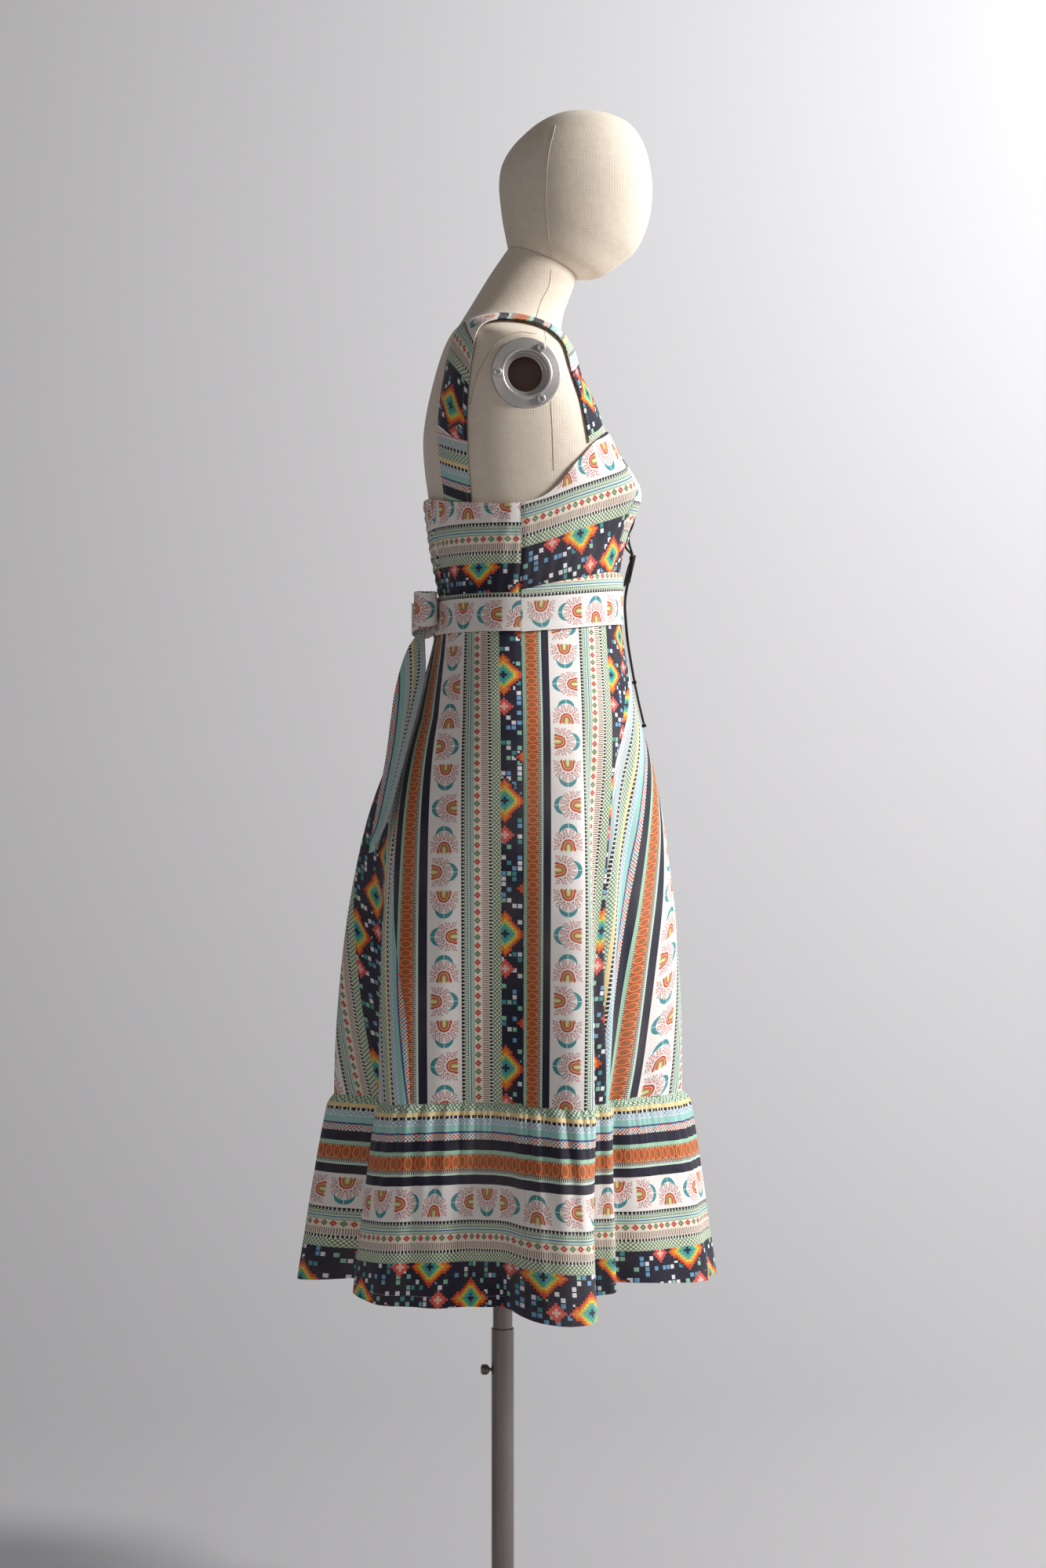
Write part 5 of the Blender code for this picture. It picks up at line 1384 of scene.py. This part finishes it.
centre_front, side_seam, centre_back = upright(0.0), upright(90.0), upright(180.0)
for word, left in (("right", False), ("left", True)):
    skirt_panel(f"skirt_front_gore_{word}", centre_front, front_gore_seam, 56, left, front_slant)
    skirt_panel(f"skirt_front_side_{word}", front_gore_seam, side_seam, 46, left, from_side_seam)
    skirt_panel(f"skirt_back_side_{word}", side_seam, back_gore_seam, 50, left, straight_cut(0.118, -1.0))
    skirt_panel(f"skirt_back_gore_{word}", back_gore_seam, centre_back, 46, left, back_slant)

# %% [markdown]
# The flounce is four widths of cloth gathered into the skirt's lower edge. The gathers are made of a fine
# wave all round at the seam, which fades as it falls, and a list of deeper creases where the photograph shows
# them. At the hem they open into soft ripples. The bands lie level, so their edges show every ripple.

# %% Flounce
DEEP_CREASES = [
    # angle, depth, how far it falls
    (49.0, 0.0050, 0.14), (56.0, 0.0040, 0.09), (61.5, 0.0030, 0.08), (65.0, 0.0040, 0.10),
    (70.0, 0.0035, 0.08), (76.5, 0.0045, 0.12), (82.0, 0.0035, 0.08), (84.5, 0.0055, 0.20),
    (88.0, 0.0040, 0.10), (94.0, 0.0025, 0.07), (101.0, 0.0030, 0.08), (108.0, 0.0025, 0.07),
    (113.0, 0.0040, 0.10), (119.0, 0.0030, 0.08), (126.0, 0.0045, 0.12), (133.0, 0.0030, 0.09),
    (139.0, 0.0040, 0.10), (147.0, 0.0030, 0.08), (155.0, 0.0040, 0.11), (168.0, 0.0035, 0.09),
]  # fmt: skip


def flounce_waves(angle, drop):
    turned = np.radians(angle)
    fine = np.cos(150 * turned + 1.6 * np.sin(11 * turned)) * (0.7 + 0.3 * np.sin(17 * turned))
    rise = np.minimum(drop / 0.006, 1.0)
    waves = 0.0016 * fine * rise * np.exp(-drop / 0.030)
    wider = np.cos(62 * turned + 2.2 * np.sin(5 * turned)) * (0.6 + 0.4 * np.sin(9 * turned + 1.0))
    waves += 0.0022 * wider * rise * np.exp(-((drop / 0.10) ** 2))
    for at, depth, fall in DEEP_CREASES:
        for place in (at, 360.0 - at - 3.0):
            off = turn_between(angle, place)
            spread = 0.75 + 1.6 * drop / 0.20
            waves -= depth * np.exp(-((off / spread) ** 2)) * rise * np.exp(-drop / fall)
    ripples = np.cos(21 * turned + 1.4 * np.sin(3 * turned + 0.8))
    growth = np.minimum(drop / (FLOUNCE_SEAM - HEM), 1.0)
    return waves + 0.0030 * ripples * growth


hem_lines = []
for node, start in (
    ("flounce_front_right", 0.0),
    ("flounce_back_right", 90.0),
    ("flounce_back_left", 180.0),
    ("flounce_front_left", 270.0),
):
    columns, levels = 300, 48
    margin = math.degrees(SEAM_GAP / 2 / 0.22)
    share = (1.0 - np.linspace(0.0, 1.0, levels) ** 1.3)[:, None]
    angle = np.linspace(start + margin, start + 90.0 - margin, columns)[None, :] + 0 * share
    top = seam_level(angle) - SEAM_GAP
    drop = share * (top - hem_level(angle))
    seam_radius, hem_radius = between(FALL, angle % 360.0)
    at_seam = np.where(share < 0.5, skirt_radius(angle, seam_level(angle)), seam_radius - WALL)
    radius = at_seam + (hem_radius - WALL - at_seam) * share**0.85
    radius += 0.0050 * np.minimum(drop / 0.012, 1.0) * (1.0 - share)
    radius += flounce_waves(angle, drop) + seam_turn(levels, np.linspace(0, 1, columns), 0.36)
    points = round_axis(angle, top - drop, radius)
    cut = (0.192 + drop, (angle * 0.00475) + 0 * drop)
    sheet_of(node, points, cut)
    hem_lines.append(round_axis(angle[5], (top - drop)[5], radius[5] + WALL).tolist())

# %% [markdown]
# The bodice fits closely over the form. Princess seams shape the cups at the front, and the centre back
# is shirred: rows of elastic thread draw the cloth into small upright gathers. Its bands run level round
# the back and rise towards the front.


# %% Bodice
def bodice_grid(first_edge, last_edge, columns, levels):
    share, across = np.linspace(0.0, 1.0, levels)[:, None], eased(columns)[None, :]
    z = WAIST_SEAM + share * (1.45 - WAIST_SEAM) + 0 * across
    for _ in range(3):
        angle = first_edge(z) + (last_edge(z) - first_edge(z)) * across
        z = WAIST_SEAM + SEAM_GAP / 2 + share * (bodice_top(angle) - WAIST_SEAM)
    return angle, z, share, across


def princess(z):
    return between(PRINCESS_SEAM, z)[0]


def side_lines(run, z, from_last):
    """Bands that rise 17 degrees towards the front, set from the side seam."""
    forward = run[:, -1:] - run if from_last else run
    return 0.042 + (1.430 + forward * 0.300 - z) * 0.96, 0.165 - forward


BACK_SEAM = 153.0
margin = math.degrees(SEAM_GAP / 2 / 0.14)
for word, left in (("right", False), ("left", True)):
    for node, first_edge, last_edge, front in (
        ("bodice_front", lambda z: princess(z) + margin, upright(90.0 - margin), True),
        ("bodice_back", upright(90.0 + margin), upright(BACK_SEAM - margin), False),
    ):
        angle, z, share, across = bodice_grid(first_edge, last_edge, 60, 56)
        turned = 360.0 - angle if left else angle
        if front:
            pull = 0.0006 * np.sin(angle * 0.9 + z * 40.0) * (1 - share)
        else:
            pull = 0.0005 * np.sin(angle * 0.7 + z * 60)
        radius = bodice_radius(turned, z) + seam_turn(56, across[0], 0.12) + pull
        points = round_axis(turned, z, radius)
        run = lengths(points, 1)
        cut = side_lines(run, z, True) if front else (0.042 + (1.410 - z), 0.03 + run)
        sheet_of(f"{node}_{word}", points, cut)
angle, z, share, across = bodice_grid(lambda z: -princess(z) + margin, lambda z: princess(z) - margin, 60, 56)
points = round_axis(angle, z, bodice_radius(angle, z) + seam_turn(56, across[0], 0.09))
cut = (0.042 + (1.444 - z), lengths(points, 1))
sheet_of("bodice_front_center", points, cut)
edges = upright(BACK_SEAM + margin), upright(360.0 - BACK_SEAM - margin)
angle, z, share, across = bodice_grid(*edges, 200, 60)
drawn_in = 0.35 + 0.65 * np.sin(np.pi * share * 11) ** 2
gathers = 0.5 - 0.5 * np.cos(2 * np.pi * 26 * across + 0.8 * np.sin(9 * share))
points = round_axis(angle, z, bodice_radius(angle, z) + 0.0024 * gathers * drawn_in)
cut = (0.042 + (1.410 - z), 0.6 + lengths(points, 1))
sheet_of("bodice_back_center", points, cut)

# %% [markdown]
# A deep band crosses the front of the waist. From the side seams two sash ends run to the back, where
# they are tied. Both lie on the bodice and the top of the skirt at once.


# %% Waistband and sash
def band_sheet(node, start, end, columns, top, bottom, left=False, pleats=None):
    share, angle = np.linspace(0.0, 1.0, 22)[:, None], np.linspace(start, end, columns)[None, :]
    z = bottom(angle) + (top(angle) - bottom(angle)) * share
    turned = (360.0 - angle if left else angle) + 0 * z
    body = bodice_radius(turned, z)
    skirt = skirt_radius(turned, np.minimum(z, WAIST_SEAM))
    radius = np.maximum(body, skirt) + WALL + LAYER_GAP
    if pleats is not None:
        radius += pleats(angle, share)
    rolled = np.exp(-((share / 0.05) ** 2)) + np.exp(-(((1 - share) / 0.05) ** 2))
    points = round_axis(turned, z, radius - 0.0004 * rolled)
    cut = (0.0005 + (z - bottom(angle)), lengths(points, 1) + (0.02 if start > 0 else 0.0))
    return sheet_of(node, points, cut)


def band_top(angle):
    return between(BAND_TOP, np.abs(turn_between(angle, 0.0)))[0]


def band_bottom(angle):
    return between(BAND_BOTTOM, np.abs(turn_between(angle, 0.0)))[0]


def closing(angle):
    return 0.012 * np.maximum(0.0, (angle - 158.0) / 18.5) ** 1.5


def sash_top(angle):
    return 1.3240 - closing(angle)


def sash_bottom(angle):
    return 1.2770 + closing(angle)


def knot_pleats(angle, share):
    """The sash creases lengthwise as it closes in towards the knot."""
    near = np.clip((angle - 140.0) / 36.5, 0.0, 1.0) ** 1.6
    return 0.0016 * near * (np.sin(share * 2 * np.pi * 3.2 + 0.6) + 0.5 * np.sin(share * 2 * np.pi * 5.5))


band_sheet("waistband_front", -90.0 + margin, 90.0 - margin, 150, band_top, band_bottom)
for word, left in (("right", False), ("left", True)):
    band_sheet(f"sash_{word}", 90.0 + margin, 176.5, 110, sash_top, sash_bottom, left, knot_pleats)

# %% [markdown]
# The bow is tied from the two sash ends. Its knot is a crushed roll of cloth, its loops are flat bands
# that turn over, and its tails hang in a soft S across their width, with slanted ends.

# %% Bow
BOW_CENTRE, KNOT_SIZE = np.array((0.0, 0.0990, 1.3020)), np.array((0.024, 0.021, 0.034))


def loop_grid(rise):
    turned = 2 * np.pi * np.linspace(0.0, 1.0, 90)[None, :]
    across = np.linspace(-0.5, 0.5, 26)[:, None]
    out = (1 - np.cos(turned)) / 2
    reach = 0.0120 + 0.0011 + 0.054 * out**0.8
    open_out = np.sin(turned) * (0.25 + 0.75 * out) * 0.027 / 1.55
    width = 0.024 + 0.020 * out**0.7
    apart = np.where(turned < np.pi, 0.0026, -0.0026)
    crease = 0.0010 * np.sin(across * 2 * np.pi * 2.4 + 0.5) * (1 - out) ** 2
    y = BOW_CENTRE[1] + 0.001 + open_out + apart * (1 - out) + crease
    z = BOW_CENTRE[2] + rise * out - 0.010 * out**3 + across * width
    return np.stack(np.broadcast_arrays(-reach, y, z), -1)


def tail_grid(longer):
    first, last = TAIL[0][0], TAIL[-1][0]
    z = np.linspace(last, first, 80)[:, None]
    share = np.linspace(0.0, 1.0, 34)[None, :]
    outer_x, outer_y, inner_x, inner_y = between(TAIL, z[:, 0])
    outer_x, outer_y, inner_x, inner_y = (v[:, None] for v in (outer_x, outer_y, inner_x, inner_y))
    fallen = (first - z) / (first - last)
    x = inner_x + (outer_x - inner_x) * share
    y = inner_y + (outer_y - inner_y) * share
    sway = 0.0045 * np.sin(2 * np.pi * share + 0.6) * np.minimum(1.0, 3 * fallen)
    creased = 0.0012 * np.sin(2 * np.pi * share * 3 + 2.0) * np.exp(-fallen * 4)
    drop = longer * fallen
    out = np.stack([x, y - BODY_AXIS_Y], -1)
    out = out / np.linalg.norm(out, axis=2, keepdims=True) * 0.10 * drop[..., None]
    slanted = z - 0.014 * share * fallen**4 - drop
    places = (x - 0.5 * sway + out[..., 0], y + sway + creased + out[..., 1], slanted)
    return np.stack(np.broadcast_arrays(*places), -1)


for word, mirror, rise, longer in (("right", 1.0, 0.016, 0.0), ("left", -1.0, 0.008, 0.026)):
    points = loop_grid(rise) * (mirror, 1.0, 1.0)
    outward = points - points.mean((0, 1))
    cut = (lengths(points, 0), lengths(points, 1))
    sheet_of(f"bow_loop_{word}", points, cut, outward, low=0.0003, high=0.0014)
    points = tail_grid(longer) * (mirror, 1.0, 1.0)
    outward = points * (1.0, 1.0, 0.0) + (0.0, 0.2, 0.0)
    cut = (0.176 + lengths(points, 1), lengths(points[::-1], 0)[::-1])
    sheet_of(f"bow_tail_{word}", points, cut, outward, low=0.0003, high=0.0014)
around, up = np.meshgrid(np.linspace(0, 2 * np.pi, 49)[:-1], np.linspace(-1.0, 1.0, 24))


def soft_power(value, power):
    return np.sign(value) * np.abs(value) ** power


rounding = np.sqrt(np.maximum(1 - np.abs(up) ** 3.2, 0.0))
creases = 1.0 + 0.07 * np.sin(5 * up * np.pi + 1.2 * np.sin(around))
places = BOW_CENTRE + KNOT_SIZE / 2 * np.stack(
    [
        soft_power(np.cos(around), 0.7) * rounding * creases,
        soft_power(np.sin(around), 0.7) * rounding * creases,
        up,
    ],
    -1,
)
rows, columns = places.shape[:2]
faces = []
for low in range(columns, (rows - 2) * columns, columns):
    high = low + columns
    for j in range(columns):
        k = (j + 1) % columns
        faces.append((low + j, low + k, high + k, high + j))
faces += [tuple(range(columns, 2 * columns))[::-1], tuple(range((rows - 2) * columns, (rows - 1) * columns))]
faces = [tuple(v - columns for v in face) for face in faces]
knot = finish_mesh("bow_knot_cloth", places[1:-1], faces, [cotton], "form")
write_cut(knot, np.stack([0.012 + (up[1:-1] + 1) * 0.013, around[1:-1] * 0.011], -1).reshape(-1, 2))
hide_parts("bow_knot")
print("bow tied, knot points:", len(knot.data.vertices))

# %% [markdown]
# The straps are wide and lie flat over the shoulders. Each is a grid between two edge lines, laid down on
# the form by casting rays at it from outside, and lifted a little where it turns over the shoulder.


# %% Straps
def strap_grid(edges, lift, columns, rows):
    outer = smooth_route([row[:3] for row in edges], rows)
    inner = smooth_route([row[3:] for row in edges], rows)
    grid = np.zeros((rows, columns, 3))
    for i, (a, b) in enumerate(zip(outer, inner)):
        for j, share in enumerate(np.linspace(0.0, 1.0, columns)):
            guess = Vector(a).lerp(Vector(b), share)
            core = Vector((guess.x * 0.6, BODY_AXIS_Y, min(guess.z, 1.600)))
            out = (guess - core).normalized()
            place, facing, _, _ = torso_tree.ray_cast(core + out * 0.4, -out)
            grid[i, j] = place + facing * (lift + 0.0026 * float(hump(place.z - 1.645, 0.060)))
    for _ in range(4):  # evens out the small steps that rays leave
        grid[1:-1] = (grid[:-2] + 2 * grid[1:-1] + grid[2:]) / 4
    return grid


front_strap = strap_grid(STRAP_FRONT, 0.0022, 22, 110)
back_strap = strap_grid(STRAP_BACK, 0.0022, 22, 44)
strap_lines = []
for word, mirror in (("right", 1.0), ("left", -1.0)):
    for node, grid in (("strap_front", front_strap), ("strap_back", back_strap)):
        points = grid * (mirror, 1.0, 1.0)
        run = lengths(points, 0)
        if node == "strap_front":
            along_band = 0.169 - 0.945 * (run[-1:].mean() - run)
        else:
            along_band = 0.172 + run
        outward = points - (0.0, BODY_AXIS_Y, 1.56)
        sheet_of(f"{node}_{word}", points, (along_band, lengths(points, 1)), outward)
        skin = points + facings(points, outward)[0] * WALL
        strap_lines += [skin[:, 2].tolist(), skin[:, -3].tolist()]

# %% [markdown]
# Three pairs of small metal eyelets take the lace. It crosses between them, is knotted under the lowest
# pair and makes a small bow. The eyelets are one ring, repeated by Geometry Nodes at the places of the
# CAD's own eyelets.

# %% Eyelets and lacing
ring = bpy.data.meshes.new("ring_pattern")
mesh = bmesh.new()
around = [2 * math.pi * i / 24 for i in range(24)]
loops = []
for tilt in [2 * math.pi * i / 10 for i in range(10)]:
    radius, z = 0.0042 + 0.0010 * math.cos(tilt), 0.0010 * math.sin(tilt)
    loops.append([mesh.verts.new((radius * math.cos(a), radius * math.sin(a), z)) for a in around])
for low, high in zip(loops, loops[1:] + loops[:1]):
    for j in range(24):
        k = (j + 1) % 24
        mesh.faces.new((low[j], low[k], high[k], high[j]))
bmesh.ops.recalc_face_normals(mesh, faces=mesh.faces)
mesh.to_mesh(ring)
mesh.free()
ring_object = bpy.data.objects.new("ring_pattern", ring)
bpy.context.scene.collection.objects.link(ring_object)
EYELET_HEIGHTS = (1.486, 1.443, 1.400)
spots, places, nodes = {}, [], []
for word, angle in (("right", 8.5), ("left", -8.5)):
    for number, z in enumerate(EYELET_HEIGHTS):
        node = f"eyelet_{word}_{number + 1}"
        low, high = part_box(node)
        centre = (low + high) / 2
        turned_by, raised_by = np.array((1.0, -1.0, 0.0, 0.0)), np.array((0.0, 0.0, 0.004, -0.004))
        around, up = angle + turned_by, z + raised_by
        ahead, behind, above, below = round_axis(around, up, bodice_radius(around, up))
        facing = Vector(np.cross(ahead - behind, above - below)).normalized()
        facing = facing if facing.y < 0 else -facing
        spots[word, number] = (centre - facing * 0.0016, facing)
        places.append(Matrix.Translation(centre) @ facing.to_track_quat("Z", "Y").to_matrix().to_4x4())
        nodes.append(node)
values = {"Part": ring_object, "Material": alloy}
laid_out("eyelets_alloy", copies, points_mesh(places), values, "form", nodes)
bpy.data.objects.remove(ring_object)
LACE_KNOT = Vector((0.0, -0.1660, 1.3780))
for name, word, lifted in (("lace_under", "right", 0.0008), ("lace_over", "left", -0.0032)):
    points = []
    for number in range(3):
        spot, facing = spots[word, number]
        points.append(spot + facing * 0.0030)
        word = "left" if word == "right" else "right"
    middles = [(a + b) / 2 + Vector((0.0, lifted, 0.0)) for a, b in zip(points, points[1:])]
    route = [points[0]]
    for middle, point in zip(middles, points[1:]):
        route += [middle, point]
    route.append(LACE_KNOT + Vector((-0.0026 if points[-1].x < 0 else 0.0026, 0.0, 0.0054)))
    lace = tube(f"{name}_cord", smooth_route(route, 60), CORD / 2, cord_black, "form", 10)
    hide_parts(name)
for word, mirror in (("right", 1.0), ("left", -1.0)):
    loop = [(x * mirror, y, z) for x, y, z in LACE_LOOP]
    lace = tube(f"lace_loop_{word}_cord", smooth_route(loop, 50), CORD / 2, cord_black, "form", 10)
    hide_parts(f"lace_loop_{word}")
tied = overhand_knot("lace_knot_tied", LACE_KNOT, 0.0056, 0.0017, cord_black, (0, -1, 0))
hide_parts("lace_knot")
print("lace threaded through", len(nodes), "eyelets")

# %% [markdown]
# Rows of topstitching hold the edges flat: along the top of the bodice, both edges of the waistband, the
# long edges of the straps, and the turned-up hem. Each row is a line on the surface, and the stitches
# tree fills it.


# %% Topstitching
def stitch_line(angles, z, radius):
    return round_axis(angles, z, radius).tolist()


lines = hem_lines + strap_lines
angles = np.linspace(-89.0, 89.0, 160)
for z in (band_top(angles) - 0.0035, band_bottom(angles) + 0.0035):
    body = np.maximum(bodice_radius(angles, z), skirt_radius(angles, np.minimum(z, WAIST_SEAM)))
    lines.append(stitch_line(angles, z, body + 2 * WALL + LAYER_GAP))
for first, last in ((24.0, 89.0), (91.0, 152.0), (-22.0, 22.0), (-89.0, -24.0), (208.0, 269.0)):
    angles = np.linspace(first + 4.0 if abs(first) > 22 and abs(first) < 30 else first, last, 60)
    z = bodice_top(angles) - 0.0055
    lines.append(stitch_line(angles, z, bodice_radius(angles, z) + WALL))
laid_out(
    "topstitching", stitches, lines_mesh(lines),
    {"Pitch": 0.0034, "Length": 0.0024, "Thickness": 0.0005, "Material": seam_thread}, "form",
)  # fmt: skip
print("rows of stitches:", len(lines))

# %% [markdown]
# The stage is plain: a pale floor that sweeps up into a backdrop, a large soft light from the front of the
# figure, a weak warm fill, and a lamp that lifts the backdrop. The paper's colour darkens towards the floor,
# which is painted shade. The room itself gives little light, but a camera that looks past the backdrop sees
# it pale. The back of the paper is clear, so that the dress can also be looked at from behind the backdrop
# and from below the floor.

# %% Stage and lights
PAPER_START, BEND_RADIUS, PAPER_TOP, PAPER_SIDE = -9.0, 1.2, 6.0, 7.0
bend = np.linspace(0.0, math.pi / 2, 16)
sweep = list(zip(BEND_RADIUS + BEND_RADIUS * np.sin(bend), BEND_RADIUS - BEND_RADIUS * np.cos(bend)))
profile = [(PAPER_START, 0.0)] + sweep + [(2 * BEND_RADIUS, PAPER_TOP)]
places = [(x, y, z) for y in (-PAPER_SIDE, PAPER_SIDE) for x, z in profile]
n = len(profile)
faces = [(i, i + 1, n + i + 1, n + i) for i in range(n - 1)]
paper, paper_tree, paper_shader = start_finish("backdrop paper", 0.95)
coordinates = paper_tree.nodes.new("ShaderNodeTexCoord")
parts = paper_tree.nodes.new("ShaderNodeSeparateXYZ")
paper_tree.links.new(coordinates.outputs["Object"], parts.inputs[0])
# The paper's colour darkens towards the floor: painted shade.
foot = (Sum(paper_tree, parts.outputs[2]) * -0.85 + 1.0).either(0.0)
shade = mixed(paper_tree, foot, (213, 213, 216), (186, 186, 189))
paper_tree.links.new(shade.socket, paper_shader.inputs["Base Color"])
side = paper_tree.nodes.new("ShaderNodeNewGeometry")
clear = paper_tree.nodes.new("ShaderNodeBsdfTransparent")
two_sides = paper_tree.nodes.new("ShaderNodeMixShader")
paper_tree.links.new(side.outputs["Backfacing"], two_sides.inputs[0])
paper_tree.links.new(paper_shader.outputs[0], two_sides.inputs[1])
paper_tree.links.new(clear.outputs[0], two_sides.inputs[2])
paper_tree.links.new(two_sides.outputs[0], paper_tree.nodes["Material Output"].inputs["Surface"])
backdrop = finish_mesh("backdrop", places, faces, [paper], None)
if backdrop.data.polygons[0].normal.z < 0:
    backdrop.data.flip_normals()
backdrop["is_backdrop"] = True


def soft_light(name, place, aim, size, watts, colour):
    data = bpy.data.lights.new(name, "AREA")
    data.shape, data.size, data.energy, data.color = "DISK", size, watts, colour
    light = bpy.data.objects.new(name, data)
    bpy.context.scene.collection.objects.link(light)
    light.location = place
    light.rotation_euler = (Vector(aim) - Vector(place)).to_track_quat("-Z", "Y").to_euler()


LIGHTS = [
    # name, place, aim, size, watts, colour
    ("key", (-1.0, -3.2, 2.8), (0.0, 0.0, 1.25), 1.0, 165.0, (1.0, 0.98, 0.95)),
    ("fill", (-3.4, 1.6, 1.6), (0.0, 0.0, 1.0), 2.4, 11.0, (1.0, 0.90, 0.84)),
    ("backdrop_lamp", (0.6, -2.6, 3.4), (2.3, -0.2, 2.3), 2.0, 58.0, (0.97, 0.98, 1.0)),
]
for row in LIGHTS:
    soft_light(*row)
ROOM_LIGHT, ROOM_SEEN = 0.12, 0.50
world = bpy.data.worlds.new("studio")
bpy.context.scene.world = world
world.use_nodes = True
room = world.node_tree
seen = room.nodes.new("ShaderNodeLightPath")
room.nodes["Background"].inputs["Color"].default_value = (1.0, 0.96, 0.93, 1.0)
strength = Sum(room, seen.outputs["Is Camera Ray"]) * (ROOM_SEEN - ROOM_LIGHT) + ROOM_LIGHT
room.links.new(strength.socket, room.nodes["Background"].inputs["Strength"])

# %% Measure and finish
visual_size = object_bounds()
sizes = {"cad": cad_size, "visual": visual_size}
sizes = {name: [[float(value) for value in corner] for corner in box] for name, box in sizes.items()}
print("visual box:", visual_size)
